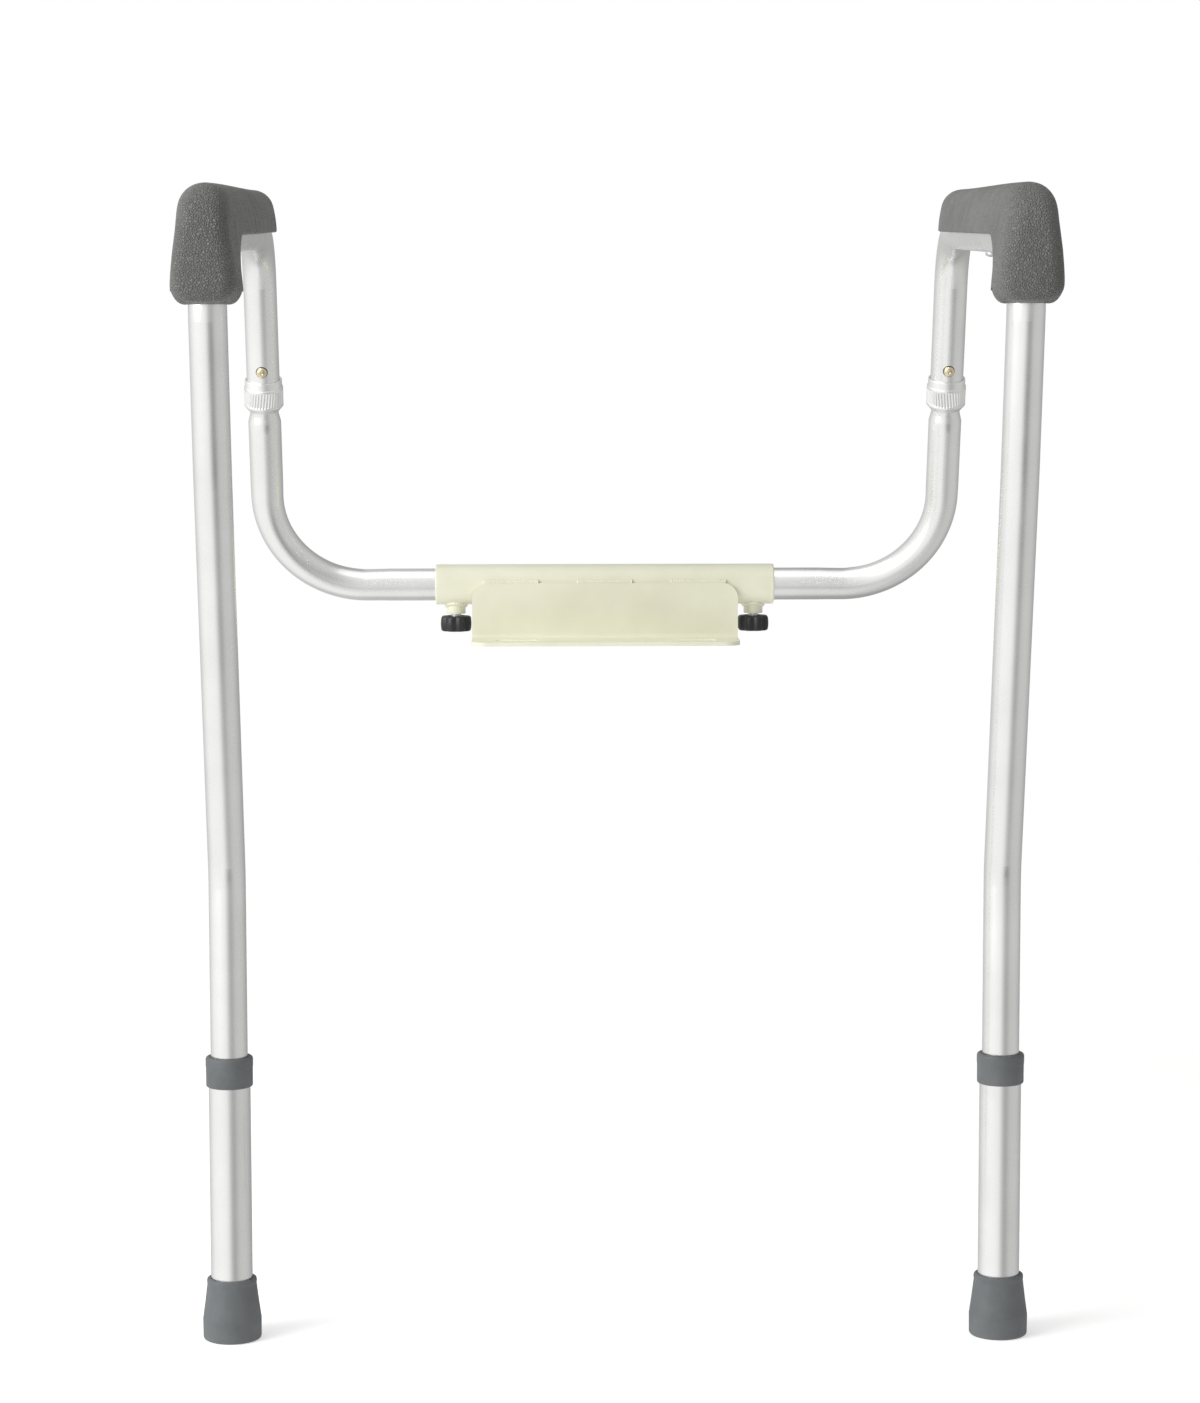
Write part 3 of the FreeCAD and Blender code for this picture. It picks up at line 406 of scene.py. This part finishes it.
def line_point(line, radius, stretch, share, near):
    """A point and its normal on such a line. stretch is 0 on the arm, 1 round the nose, 2 down the drop."""
    start, turn_in, centre, turn_out, _end = line
    if stretch == 0:
        reach = near if near is not None else share * (turn_in - start).length
        return start + ALONG_ARM * reach, ARM_NORMAL
    if stretch == 1:
        normal = Matrix.Rotation(PAD_NOSE_TURN * share, 2) @ ARM_NORMAL
        return centre + normal * radius, normal
    # down the drop the bend may still be going on, so the point is found by its height
    top = (centre + Matrix.Rotation(PAD_NOSE_TURN, 2) @ ARM_NORMAL * radius).y
    height = PAD_DROP_Z + (near if near is not None else (1 - share) * (top - PAD_DROP_Z))
    if height > turn_out.y:
        lift = (height - centre.y) / radius
        normal = Vector((-math.sqrt(1 - lift * lift), lift))
        return centre + normal * radius, normal
    return turn_out + ALONG_DROP * ((height - turn_out.y) / ALONG_DROP.y), DROP_NORMAL


END_STEPS = tuple(step * MM for step in (0, 0.35, 1.0, 2.0, 3.4, 5.2, 7.4, 10.0))
PAD_REAR_ROUND = 11 * MM
PAD_DROP_ROUND = 14 * MM


def pad_stations():
    """Every cross-section, as (stretch, share of it, distance from the near end, share of the whole)."""
    arm, turn, drop = 44, 16, 10
    stations = [(0, 0.0, step, 0.0) for step in END_STEPS]
    stations += [(0, 0.06 + 0.94 * k / arm, None, 0.85 * k / arm) for k in range(arm)]
    stations += [(1, k / turn, None, 0.85 + 0.08 * k / turn) for k in range(turn + 1)]
    stations += [(2, 0.72 * k / drop, None, 0.93 + 0.05 * k / drop) for k in range(1, drop)]
    stations += [(2, 1.0, step, 1.0) for step in reversed(END_STEPS)]
    return stations


def ease(low, high, share):
    share = max(0.0, min(1.0, share))
    return low + (high - low) * share * share * (3 - 2 * share)


def pad_section(stretch, share, near, along, lines):
    """One ring of the pad as points: over the top from edge to edge, and back through the groove."""
    outer_line, edge_line, axis_line = lines
    outer, outward = line_point(outer_line, PAD_NOSE_RADIUS, stretch, share, near)
    edge, _ = line_point(edge_line, PAD_INNER_RADIUS, stretch, share, near)
    axis, inward = line_point(axis_line, FRONT_BEND_RADIUS, stretch, share, near)
    # how far the rounded ends pull the skin in
    inset = 0.0
    at_rear = stretch == 0
    end_round = PAD_REAR_ROUND if at_rear else PAD_DROP_ROUND
    if near is not None and near < end_round:
        inset = 1 - math.sqrt(1 - (1 - near / end_round) ** 2)
    down = ease(0, 1, (along - 0.84) / 0.14)
    foot_width = ease(20.4, 22.4, along / 0.85) + 1.4 * down
    shoulder = ease(15.0, 17.0, along / 0.8) - 6.5 * down
    flat = ease(3.4, 1.4, along / 0.8) + 5.4 * down + 4.6 * ease(0, 1, (along - 0.92) / 0.08)
    crown = 1.3 + 0.5 * down
    swell = 2.6 * ease(0, 1, along / 0.85) * ease(1, 0, (along - 0.9) / 0.1)
    # the nose is a little narrower than the arm behind it and the drop below it
    pinch = 1.5 * ease(0, 1, (along - 0.7) / 0.15) * ease(1, 0, (along - 0.9) / 0.08)
    pull_in = (4.5 if at_rear else 9.6) * inset
    sink = (12.0 if at_rear else 8.0) * inset * MM
    outer = outer + outward * (swell * MM - sink)
    flat = max(0.5, flat - pull_in - pinch * 0.5)
    foot_width = foot_width - pull_in * 0.95 - pinch
    shoulder_end = math.radians(84)

    half = []
    for k in range(5):
        across = flat * k / 5
        half.append((across, outer - outward * (crown * MM * (across / 20) ** 2)))
    for k in range(9):
        angle = shoulder_end * k / 8
        across = flat + shoulder * math.sin(angle)
        depth = crown * (flat / 20) ** 2 + shoulder * (1 - math.cos(angle))
        half.append((across, outer - outward * (depth * MM)))
    rim_across, rim = half[-1]
    for k in range(1, 7):
        part = k / 7
        bulge = 1.5 * part * (1 - part)
        half.append((rim_across + (foot_width - rim_across) * part + bulge, rim.lerp(edge, part)))
    half.append((foot_width, edge))
    half.append((foot_width - 0.35, edge - inward * (PAD_LIP * 0.7)))
    half.append((foot_width - 1.3, edge - inward * PAD_LIP))

    under = edge - inward * PAD_LIP
    start_angle = math.asin((PAD_EDGE - PAD_LIP) / GROOVE_RADIUS)
    groove_start = GROOVE_RADIUS / MM * math.cos(start_angle)
    inner = []
    for k in range(1, 5):
        inner.append((foot_width - 1.3 + (groove_start - foot_width + 1.3) * k / 5, under))
    arc_points = len(half) - len(inner)
    for k in range(arc_points):
        angle = start_angle + (math.pi / 2 - start_angle) * k / (arc_points - 1)
        reach = GROOVE_RADIUS * math.sin(angle)
        inner.append((GROOVE_RADIUS / MM * math.cos(angle), axis + inward * reach))

    right = half + inner[:-1]
    left = [(-across, point) for across, point in reversed(half[1:] + inner[:-1])]
    ring = right + [inner[-1]] + left
    lowest = PAD_DROP_Z + (near or 0 if stretch == 2 else 0)
    return [Vector((across * MM, point.x, max(point.y, lowest))) for across, point in ring]


def arm_pad(side):
    """The moulded foam pad, astride the arm and over its front corner."""
    lines = (
        offset_line(PAD_RISE, PAD_NOSE_RADIUS),
        offset_line(PAD_EDGE, PAD_INNER_RADIUS),
        offset_line(0, FRONT_BEND_RADIUS),
    )
    middle = Vector((side_x(side), 0, 0))
    rings = [pad_section(*station, lines) for station in pad_stations()]
    around = len(rings[0])
    points = [middle + point for ring in rings for point in ring]
    faces = grid_faces(len(rings), around)
    half = around // 2
    for first in (0, (len(rings) - 1) * around):
        for k in range(half):
            # each end is a strip of quads from the outer skin to the groove
            outer_a, outer_b = first + k, first + (k + 1)
            if k < half // 2:
                inner_a, inner_b = first + half - k, first + half - k - 1
                faces.append((outer_a, outer_b, inner_b, inner_a))
                quad = (outer_a, outer_b, inner_b, inner_a)
                mirror = [first + (around - (v - first)) % around for v in quad]
                faces.append(tuple(reversed(mirror)))
    pad = add_piece(f"{side}_foam_pad", points, faces, f"{side}_arm", "pad_foam", smooth_levels=1)
    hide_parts(f"{side}_arm_pad")
    return pad


for side in SIDES:
    arm_pad(side)

# ---------------------------------------------------------------- rubber ring and foot


def leg_ring(side):
    """Soft ring at the top of the leg extension, with a lip that wipes the arm tube."""
    low, high = (corner.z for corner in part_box(f"{side}_leg_ring"))
    place = Matrix.Translation((side_x(side), LEG_Y, low))
    height = (high - low) / MM
    outline = rounded(scaled([
        (14.35, 0),
        (16.0, 0, 1.3),
        (16.05, height - 7.4, 0.5),
        (16.25, height - 6.8, 0.5),
        (16.25, height - 0.1, 2.0),
        (14.3, height, 1.2),
        (12.8, height - 1.1, 0.4),
        (12.8, height - 2.95),
        (14.35, height - 2.95),
    ]))
    ring = lathe(f"{side}_wiper_ring", outline, place, f"{side}_leg", "grey_rubber")
    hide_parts(f"{side}_leg_ring")


def foot(side):
    """Flared rubber tip with a rolled mouth and a ringed sole."""
    place = Matrix.Translation((side_x(side), LEG_Y, FLOOR_Z))
    outline = rounded(scaled([
        (0, 0),
        (6, 0, 0.3),
        (6.3, 1.2, 0.3),
        (7.7, 1.2, 0.3),
        (8, 0, 0.3),
        (12, 0, 0.3),
        (12.3, 1.2, 0.3),
        (13.7, 1.2, 0.3),
        (14, 0, 0.3),
        (20.0, 0, 2.2),
        (20.15, 14.5, 7),
        (18.4, 27, 30),
        (16.95, 38.8, 2.0),
        (17.15, 40.4, 1.0),
        (16.95, 43, 1.3),
        (14.6, 43, 0.8),
        (14.35, 41),
        (14.35, 6),
        (0, 6),
    ]), steps=6)
    tip = lathe(f"{side}_rubber_foot", outline, place, f"{side}_leg", "grey_rubber", segments=128)
    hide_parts(f"{side}_foot")


for side in SIDES:
    leg_ring(side)
    foot(side)

# ---------------------------------------------------------------- snap buttons


def snap_button(side, which):
    """Brass pin with a domed, centre-punched head."""
    node = f"{side}_{which}_snap_button"
    low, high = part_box(node)
    if which == "rear":
        crown, seat, place = 15.9, 7.7, rear_frame(side)
        place = place @ Matrix.Translation((0, 0, REAR_BUTTON_ALONG)) @ Matrix.Rotation(math.pi / 2, 4, "X")
    else:
        crown, seat = 17.5, 9.6
        place = Matrix.Translation((side_x(side), LEG_Y, (low.z + high.z) / 2))
        place = place @ Matrix.Rotation(-math.pi / 2, 4, "X")
    outline = rounded(scaled([
        (0, seat - 1),
        (5.25, seat - 1, 0.2),
        (5.25, seat, 0.2),
        (4.15, seat, 0.2),
        (4.15, crown - 1.9, 1.6),
        (3.0, crown - 0.45, 2.4),
        (1.0, crown, 0.5),
        (0.55, crown - 0.45, 0.25),
        (0, crown - 0.5),
    ]))
    button = lathe(f"{side}_{which}_button", outline, place, f"{side}_{which}_button", "brass", segments=64)
    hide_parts(node)


for side in SIDES:
    for which in ("rear", "leg"):
        snap_button(side, which)

# ---------------------------------------------------------------- lock collar

FLUTES = 40
FLUTE_DEPTH = 0.7 * MM
FLUTE_SLANT = math.radians(7)


def lock_collar(side):
    """Knurled nut. Its flutes slant opposite ways on the two sides."""
    radius = 15.1 * MM
    low = COLLAR_BASE + 5.2 * MM
    high = COLLAR_BASE + 17.6 * MM
    fade = 0.7 * MM

    def fluted(reach, height, angle):
        if abs(reach - radius) > 0.01 * MM or not low < height < high:
            return reach
        drift = SIDES[side] * math.tan(FLUTE_SLANT) * (height - low) / radius
        wave = 0.5 - 0.5 * math.cos(FLUTES * (angle + drift))
        edge = min(1.0, (height - low) / fade, (high - height) / fade)
        return reach - FLUTE_DEPTH * edge * wave ** 1.6

    base = COLLAR_BASE / MM
    top = base + COLLAR_LENGTH / MM
    outline = rounded(scaled([
        (11.3, base),
        (11.7, base, 0.3),
        (15.1, base + 4, 1.4),
        (15.1, base + 5.1),
    ]), closed=False)
    steps = 16
    outline += [Vector((radius, low + (high - low) * k / steps)) for k in range(steps + 1)]
    outline += rounded(scaled([
        (15.1, base + 17.7),
        (15.1, base + 19.2, 0.5),
        (14.35, base + 19.4, 0.3),
        (14.35, top, 0.6),
        (12.8, top, 0.3),
        (12.8, base + 3),
        (11.3, base + 3),
    ]), closed=False)
    collar = lathe(f"{side}_knurled_collar", outline, rear_frame(side), f"{side}_collar", "collar_aluminium",
                   segments=FLUTES * 12, radius_at=fluted, sharp=40)
    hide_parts(f"{side}_lock_collar")


for side in SIDES:
    lock_collar(side)

# ---------------------------------------------------------------- hand knob

KNOB_LOBES = 8


def clamp_knob(side):
    """Lobed knob moulded round the clamp screw's lower end."""
    low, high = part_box(f"{side}_clamp_knob")
    middle = (low + high) / 2
    place = Matrix.Translation((middle.x, middle.y, low.z))
    height = (high.z - low.z) / MM

    def lobed(reach, _height, angle):
        dip = (0.5 + 0.5 * math.cos(KNOB_LOBES * angle)) ** 2
        return reach * (1 - 0.13 * dip * min(1.0, reach / (12 * MM)) ** 3)

    outline = rounded(scaled([
        (0, 0.5),
        (7, 0.5, 0.6),
        (7.8, 0, 0.6),
        (12.2, 0, 2.2),
        (12.7, height / 2, 14),
        (12.2, height, 2.2),
        (7.4, height, 0.8),
        (6.4, height - 0.6, 0.6),
        (4.02, height - 0.6),
        (4.02, 2),
        (0, 2),
    ]))
    knob = lathe(f"{side}_hand_knob", outline, place, f"{side}_clamp_screw", "black_plastic",
                 segments=KNOB_LOBES * 20, radius_at=lobed)
    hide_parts(f"{side}_clamp_knob")


for side in SIDES:
    clamp_knob(side)

# ---------------------------------------------------------------- rear tube

REAR_END_STEPS = 24
REAR_BEND_STEPS = 40
TUBE_SHARP = 40


def rear_tube_line(side):
    """The tube's axis up to the bend's top, as (point, way to the bend's inside, share of the bend)."""
    inward = -SIDES[side]
    end_x = (abs(side_x(side)) - REAR_INNER_END) * inward
    radius = REAR_BEND_RADIUS
    line = []
    bend_x = radius * inward
    across = Vector((-inward, 0, 0))
    up = Vector((0, 0, 1))
    for k in range(REAR_END_STEPS):
        x = end_x + (bend_x - end_x) * k / REAR_END_STEPS
        line.append((Vector((x, 0, 0)), up, 0.0 if k < REAR_END_STEPS - 2 else 0.3))
    centre = Vector((bend_x, 0, radius))
    for k in range(REAR_BEND_STEPS + 1):
        part = k / REAR_BEND_STEPS
        angle = math.pi / 2 * part
        out = -up * math.cos(angle) + across * math.sin(angle)
        line.append((centre + out * radius, -out, min(1.0, 0.3 + 3 * part, 0.3 + 3 * (1 - part))))
    return line


def rear_tube(side):
    """Bent tube with a swaged top. The bend is slightly flattened, and creased inside where it starts."""
    line = rear_tube_line(side)
    crease = REAR_END_STEPS
    segments = 72
    side_axis = Vector((0, 1, 0))
    straight = []
    for k in range(1, 9):
        height = REAR_BEND_RADIUS + (NECK_BASE - REAR_BEND_RADIUS) * k / 8
        straight.append((height, TUBE_RADIUS))
    neck_base = NECK_BASE / MM
    neck = rounded(scaled([
        (12.7, neck_base),
        (12.2, neck_base + 2.1, 3),
        (11.1, neck_base + 6.5, 3),
        (11.1, neck_base + 15.5),
    ]), closed=False)
    straight += [(point.y, point.x) for point in neck[1:]]
    straight += [(SPIGOT_TOP - 0.6 * MM, SPIGOT_RADIUS), (SPIGOT_TOP, SPIGOT_RADIUS - 0.5 * MM)]

    place = rear_frame(side)
    points = []
    rings = []
    for index, (point, inside, bent) in enumerate(line):
        rings.append((point, inside, bent, TUBE_RADIUS, math.exp(-((index - crease) / 1.6) ** 2)))
    inside = line[-1][1]
    for height, radius in straight:
        rings.append((Vector((0, 0, height)), inside, 0.0, radius, 0.0))
    walls = [(point, way, bent, radius - TUBE_WALL, 0.0)
             for point, way, bent, radius, _ in reversed(rings)]
    for point, way, bent, radius, dent in rings + walls:
        for k in range(segments):
            angle = FULL_TURN * k / segments
            squeeze = 1 - 0.035 * bent * math.cos(angle) ** 2 + 0.015 * bent * math.sin(angle) ** 2
            facing = max(0.0, math.cos(angle)) ** 2
            reach = radius * squeeze - 0.35 * MM * dent * facing
            local = point + way * (reach * math.cos(angle)) + side_axis * (reach * math.sin(angle))
            points.append(place @ local)
    faces = grid_faces(len(rings) * 2, segments, loop_rings=True)
    tube = add_piece(f"{side}_bent_rear_tube", points, faces, f"{side}_rear", "aluminium", sharp=TUBE_SHARP)
    hole = place @ Vector((0, -TUBE_RADIUS, REAR_BUTTON_ALONG))
    drill(tube, hole, place.to_3x3() @ Vector((0, -1, 0)))
    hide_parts(f"{side}_rear_tube")


def cut_away(piece, tool_build, name):
    """Cut a bmesh's shape out of a piece, and leave the result as the piece's own mesh."""
    mesh = bpy.data.meshes.new(name)
    tool_build.to_mesh(mesh)
    tool_build.free()
    tool = bpy.data.objects.new(name, mesh)
    bpy.context.scene.collection.objects.link(tool)
    modifier = piece.modifiers.new(name, "BOOLEAN")
    modifier.operation = "DIFFERENCE"
    modifier.solver = "EXACT"
    modifier.object = tool
    bpy.context.view_layer.update()
    graph = bpy.context.evaluated_depsgraph_get()
    piece.data = bpy.data.meshes.new_from_object(piece.evaluated_get(graph))
    piece.modifiers.clear()
    bpy.data.objects.remove(tool)


def drill(piece, centre, direction, radius=4.6 * MM, depth=8 * MM):
    """Cut a round hole through the near wall of a tube."""
    build = bmesh.new()
    turn = direction.to_track_quat("Z", "Y").to_matrix().to_4x4()
    bmesh.ops.create_cone(build, cap_ends=True, segments=48, radius1=radius, radius2=radius,
                          depth=2 * depth, matrix=Matrix.Translation(centre) @ turn)
    cut_away(piece, build, "drill")
    piece.data.shade_smooth()
    piece.data.set_sharp_from_angle(angle=math.radians(TUBE_SHARP))


for side in SIDES:
    rear_tube(side)

# ---------------------------------------------------------------- welds on the bracket


def weld_bead(name, path, radius, ripple):
    """A run of overlapping weld ripples along a list of points."""
    around = 14
    points = []
    for i, point in enumerate(path):
        after = path[min(i + 1, len(path) - 1)]
        before = path[max(i - 1, 0)]
        heading = (after - before).normalized()
        side_way = heading.cross(Vector((0, 0, 1))).normalized()
        if side_way.length < 0.5:
            side_way = Vector((1, 0, 0))
        up = side_way.cross(heading)
        taper = min(1.0, 0.35 + i / 3, 0.35 + (len(path) - 1 - i) / 3)
        swell = 1 + ripple * abs(math.sin(i * math.pi / 5)) * (1 + 0.3 * math.sin(i * 1.7))
        for k in range(around):
            angle = FULL_TURN * k / around
            reach = radius * taper * swell
            points.append(point + side_way * (reach * math.cos(angle)) + up * (reach * math.sin(angle)))
    faces = grid_faces(len(path), around)
    faces.append(tuple(range(around - 1, -1, -1)))
    last = (len(path) - 1) * around
    faces.append(tuple(range(last, last + around)))
    return add_piece(name, points, faces, "bracket", "cream_steel", sharp=60)


def welds():
    """Beads that hold the cross tube to the plate, and each clamp nut to the cross tube."""
    plate_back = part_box("bracket_plate")[1].y
    plate_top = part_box("bracket_plate")[1].z
    tube_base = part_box("bracket_tube")[0].z
    for index, start in enumerate((-96, -22, 52)):
        count = 111
        path = [Vector(((start + 44 * k / (count - 1)) * MM, plate_back + 0.2 * MM, plate_top + 0.5 * MM))
                for k in range(count)]
        weld_bead(f"weld_upper_{index}", path, 1.9 * MM, 0.16)
    for side in SIDES:
        low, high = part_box(f"{side}_clamp_nut")
        middle = (low + high) / 2
        radius = (high.x - low.x) / 2
        count = 121
        path = []
        for k in range(count):
            angle = FULL_TURN * k / (count - 1)
            sag = (1 - math.sqrt(1 - (radius * math.sin(angle) / (16 * MM)) ** 2)) * 16 * MM
            path.append(Vector((middle.x + radius * math.cos(angle), middle.y + radius * math.sin(angle),
                                tube_base - 0.5 * MM + sag)))
        weld_bead(f"{side}_nut_weld", path, 1.5 * MM, 0.16)


welds()

# ---------------------------------------------------------------- screws under the arm

INSERT_MIDDLE_Y = -323 * MM
SCREW_PLACES = (-102 * MM, 28 * MM)
RECESS_SIZE = (5.0 * MM, 0.95 * MM, 3.6 * MM)
RECESS_Z = -16 * MM


def pad_screws(side):
    """Two pan-head screws with a cross recess, from under the arm into the pad's insert."""
    slope = math.atan2(-ALONG_ARM.y, -ALONG_ARM.x)
    for index, along in enumerate(SCREW_PLACES):
        place = (
            Matrix.Translation((side_x(side), INSERT_MIDDLE_Y, FRONT_CORNER.y))
            @ Matrix.Translation((0, 0, (INSERT_MIDDLE_Y - FRONT_CORNER.x) * math.tan(slope)))
            @ Matrix.Rotation(slope, 4, "X")
            @ Matrix.Translation((0, along, 0))
        )
        outline = rounded(scaled([
            (0, -15.9),
            (2.6, -15.75, 6),
            (4.75, -14.6, 1.3),
            (4.75, -12.8, 0.2),
            (2.4, -12.8),
            (2.4, 17),
            (2.0, 17.6),
            (0, 17.6),
        ]))
        screw = lathe(f"{side}_pad_screw_{index}", outline, place, f"{side}_arm", "zinc_steel", segments=64)
        for angle in (0, 90):
            slot_tool(screw, place, angle)
        if index == 0:
            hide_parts(f"{side}_pad_screws")


def slot_tool(screw, place, angle):
    """Cut one arm of the cross recess."""
    build = bmesh.new()
    bmesh.ops.create_cube(build, size=1)
    shape = Matrix.Diagonal((*RECESS_SIZE, 1))
    turn = Matrix.Rotation(math.radians(angle), 4, "Z")
    placing = place @ Matrix.Translation((0, 0, RECESS_Z)) @ turn @ shape
    bmesh.ops.transform(build, matrix=placing, verts=build.verts)
    cut_away(screw, build, "slot")


for side in SIDES:
    pad_screws(side)

# ---------------------------------------------------------------- finishes of the CAD pieces that stay

NODE_SLOTS = {
    "bracket_plate": "cream_steel",
    "bracket_tube": "cream_steel",
    "socket_bush": "cream_nylon",
    "clamp_nut": "cream_steel",
    "clamp_screw": "zinc_steel",
    "clamp_tip": "brass",
    "collar_ferrule": "nylon",
    "arm_tube": "aluminium",
    "pad_insert": "zinc_steel",
    "leg_extension": "aluminium",
    "foot_washer": "zinc_steel",
    "rear_snap_spring": "spring_steel",
    "leg_snap_spring": "spring_steel",
}

for name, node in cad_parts.items():
    kind = name.removeprefix("left_").removeprefix("right_")
    if kind in NODE_SLOTS:
        node.data.materials.clear()
        node.data.materials.append(SLOT_MATERIALS[NODE_SLOTS[kind]])

# ---------------------------------------------------------------- studio


def make_floor():
    """A pale floor that fades out far from the object."""
    mesh = bpy.data.meshes.new("floor")
    reach = 8
    mesh.from_pydata([(-reach, -reach, FLOOR_Z), (reach, -reach, FLOOR_Z), (reach, reach, FLOOR_Z),
                      (-reach, reach, FLOOR_Z)], [], [(0, 1, 2, 3)])
    floor = bpy.data.objects.new("floor", mesh)
    bpy.context.scene.collection.objects.link(floor)
    material, tree, shader = start_material("floor", Roughness=0.9, Specular_IOR_Level=0.1,
                                            Emission_Strength=0.45)
    shader.inputs["Base Color"].default_value = (0.93, 0.93, 0.925, 1)
    shader.inputs["Emission Color"].default_value = (1, 1, 1, 1)
    coordinates = tree.nodes.new("ShaderNodeTexCoord")
    length = tree.nodes.new("ShaderNodeVectorMath")
    length.operation = "LENGTH"
    tree.links.new(coordinates.outputs["Object"], length.inputs[0])
    clear = tree.nodes.new("ShaderNodeBsdfTransparent")
    mix = tree.nodes.new("ShaderNodeMixShader")
    tree.links.new(spread(tree, length.outputs["Value"], 0.0, 1.0, 0.9, 1.9), mix.inputs["Fac"])
    tree.links.new(shader.outputs["BSDF"], mix.inputs[1])
    tree.links.new(clear.outputs["BSDF"], mix.inputs[2])
    output = next(node for node in tree.nodes if node.type == "OUTPUT_MATERIAL")
    tree.links.new(mix.outputs["Shader"], output.inputs["Surface"])
    mesh.materials.append(material)
    floor.visible_glossy = False


GAP_CENTRE = math.radians(16)
GAP_WIDTH = math.radians(21)
GAP_DEPTH = 0.60
GAP_LOW_CENTRE = -0.45
GAP_LOW_HEIGHT = 0.11


def bell_curve(tree, value, centre, width):
    """1 where the value is at the centre, falling to nothing either side of it."""
    offset = combine(tree, "DIVIDE", combine(tree, "SUBTRACT", value, centre), width)
    square = combine(tree, "MULTIPLY", offset, offset)
    return combine(tree, "POWER", math.e, combine(tree, "MULTIPLY", square, -1.0))


def make_world():
    """A white studio, darker behind the camera and a little greyer to the right."""
    world = bpy.data.worlds.new("studio")
    bpy.context.scene.world = world
    world.use_nodes = True
    tree = world.node_tree
    background = tree.nodes["Background"]
    coordinates = tree.nodes.new("ShaderNodeTexCoord")
    parts = tree.nodes.new("ShaderNodeSeparateXYZ")
    tree.links.new(coordinates.outputs["Generated"], parts.inputs["Vector"])
    towards_camera = combine(tree, "MULTIPLY", parts.outputs["Y"], -1.0)
    azimuth = combine(tree, "ARCTAN2", parts.outputs["X"], towards_camera)
    sides = spread(tree, azimuth, 1.0, 0.62, math.radians(-8), math.radians(30))
    turned = combine(tree, "ABSOLUTE", azimuth, 0.0)
    back = spread(tree, turned, 1.0, 0.62, math.radians(95), math.radians(150))
    walls = combine(tree, "MULTIPLY", sides, back)
    # the dark gap between the two sides is an unlit part of the studio
    bell = bell_curve(tree, azimuth, GAP_CENTRE, GAP_WIDTH)
    # and it is deepest low down
    low = bell_curve(tree, parts.outputs["Z"], GAP_LOW_CENTRE, GAP_LOW_HEIGHT)
    steepness = combine(tree, "ABSOLUTE", parts.outputs["Z"], 0.0)
    middle = spread(tree, steepness, 0.45, 0.05, 0.2, 0.7)
    level = combine(tree, "ADD", middle, combine(tree, "MULTIPLY", low, 0.75))
    gap = combine(tree, "MULTIPLY", combine(tree, "MULTIPLY", bell, GAP_DEPTH), level)
    lit = combine(tree, "SUBTRACT", walls, gap)
    # the walls are a long way off, so they light matt surfaces less than they show in bright ones
    path = tree.nodes.new("ShaderNodeLightPath")
    weak = combine(tree, "SUBTRACT", 1.0, combine(tree, "MULTIPLY", path.outputs["Is Diffuse Ray"], 0.5))
    lit = combine(tree, "MULTIPLY", lit, weak)
    seen = tree.nodes.new("ShaderNodeMix")
    tree.links.new(path.outputs["Is Camera Ray"], seen.inputs["Factor"])
    tree.links.new(lit, seen.inputs["A"])
    seen.inputs["B"].default_value = 1.0
    tree.links.new(seen.outputs["Result"], background.inputs["Strength"])
    background.inputs["Color"].default_value = (1, 1, 1, 1)


def soft_box(name, place, target, size, power):
    """A rectangular light that faces a target."""
    light = bpy.data.lights.new(name, "AREA")
    light.shape = "RECTANGLE"
    light.size, light.size_y = size
    light.energy = power
    lamp = bpy.data.objects.new(name, light)
    lamp.location = place
    lamp.rotation_euler = (Vector(target) - Vector(place)).to_track_quat("-Z", "Y").to_euler()
    bpy.context.scene.collection.objects.link(lamp)


CAMERA_PLACE = (-0.048, -2.875, 0.2596)
CAMERA_PAN, CAMERA_PITCH, CAMERA_ROLL = (math.radians(angle) for angle in (0.868, 6.055, -0.085))
CAMERA_LENS = 94.45
LIGHT_TARGET = (0, -0.25, 0)


def make_camera():
    """Straight on, with the lens a little below the pads and tipped slightly down."""
    data = bpy.data.cameras.new("camera")
    data.sensor_width = 36
    data.lens = CAMERA_LENS
    camera = bpy.data.objects.new("camera", data)
    turn = Matrix.Rotation(-CAMERA_PAN, 4, "Z") @ Matrix.Rotation(math.pi / 2 - CAMERA_PITCH, 4, "X")
    turn = turn @ Matrix.Rotation(CAMERA_ROLL, 4, "Z")
    camera.matrix_world = Matrix.Translation(CAMERA_PLACE) @ turn
    bpy.context.scene.collection.objects.link(camera)
    bpy.context.scene.camera = camera


make_floor()
make_world()
soft_box("key", (-2.4, -1.9, 1.3), LIGHT_TARGET, (1.7, 2.2), 66)
soft_box("top", (-0.3, -0.3, 2.8), LIGHT_TARGET, (3.0, 2.6), 15)
make_camera()
bpy.context.scene.view_settings.view_transform = "Standard"
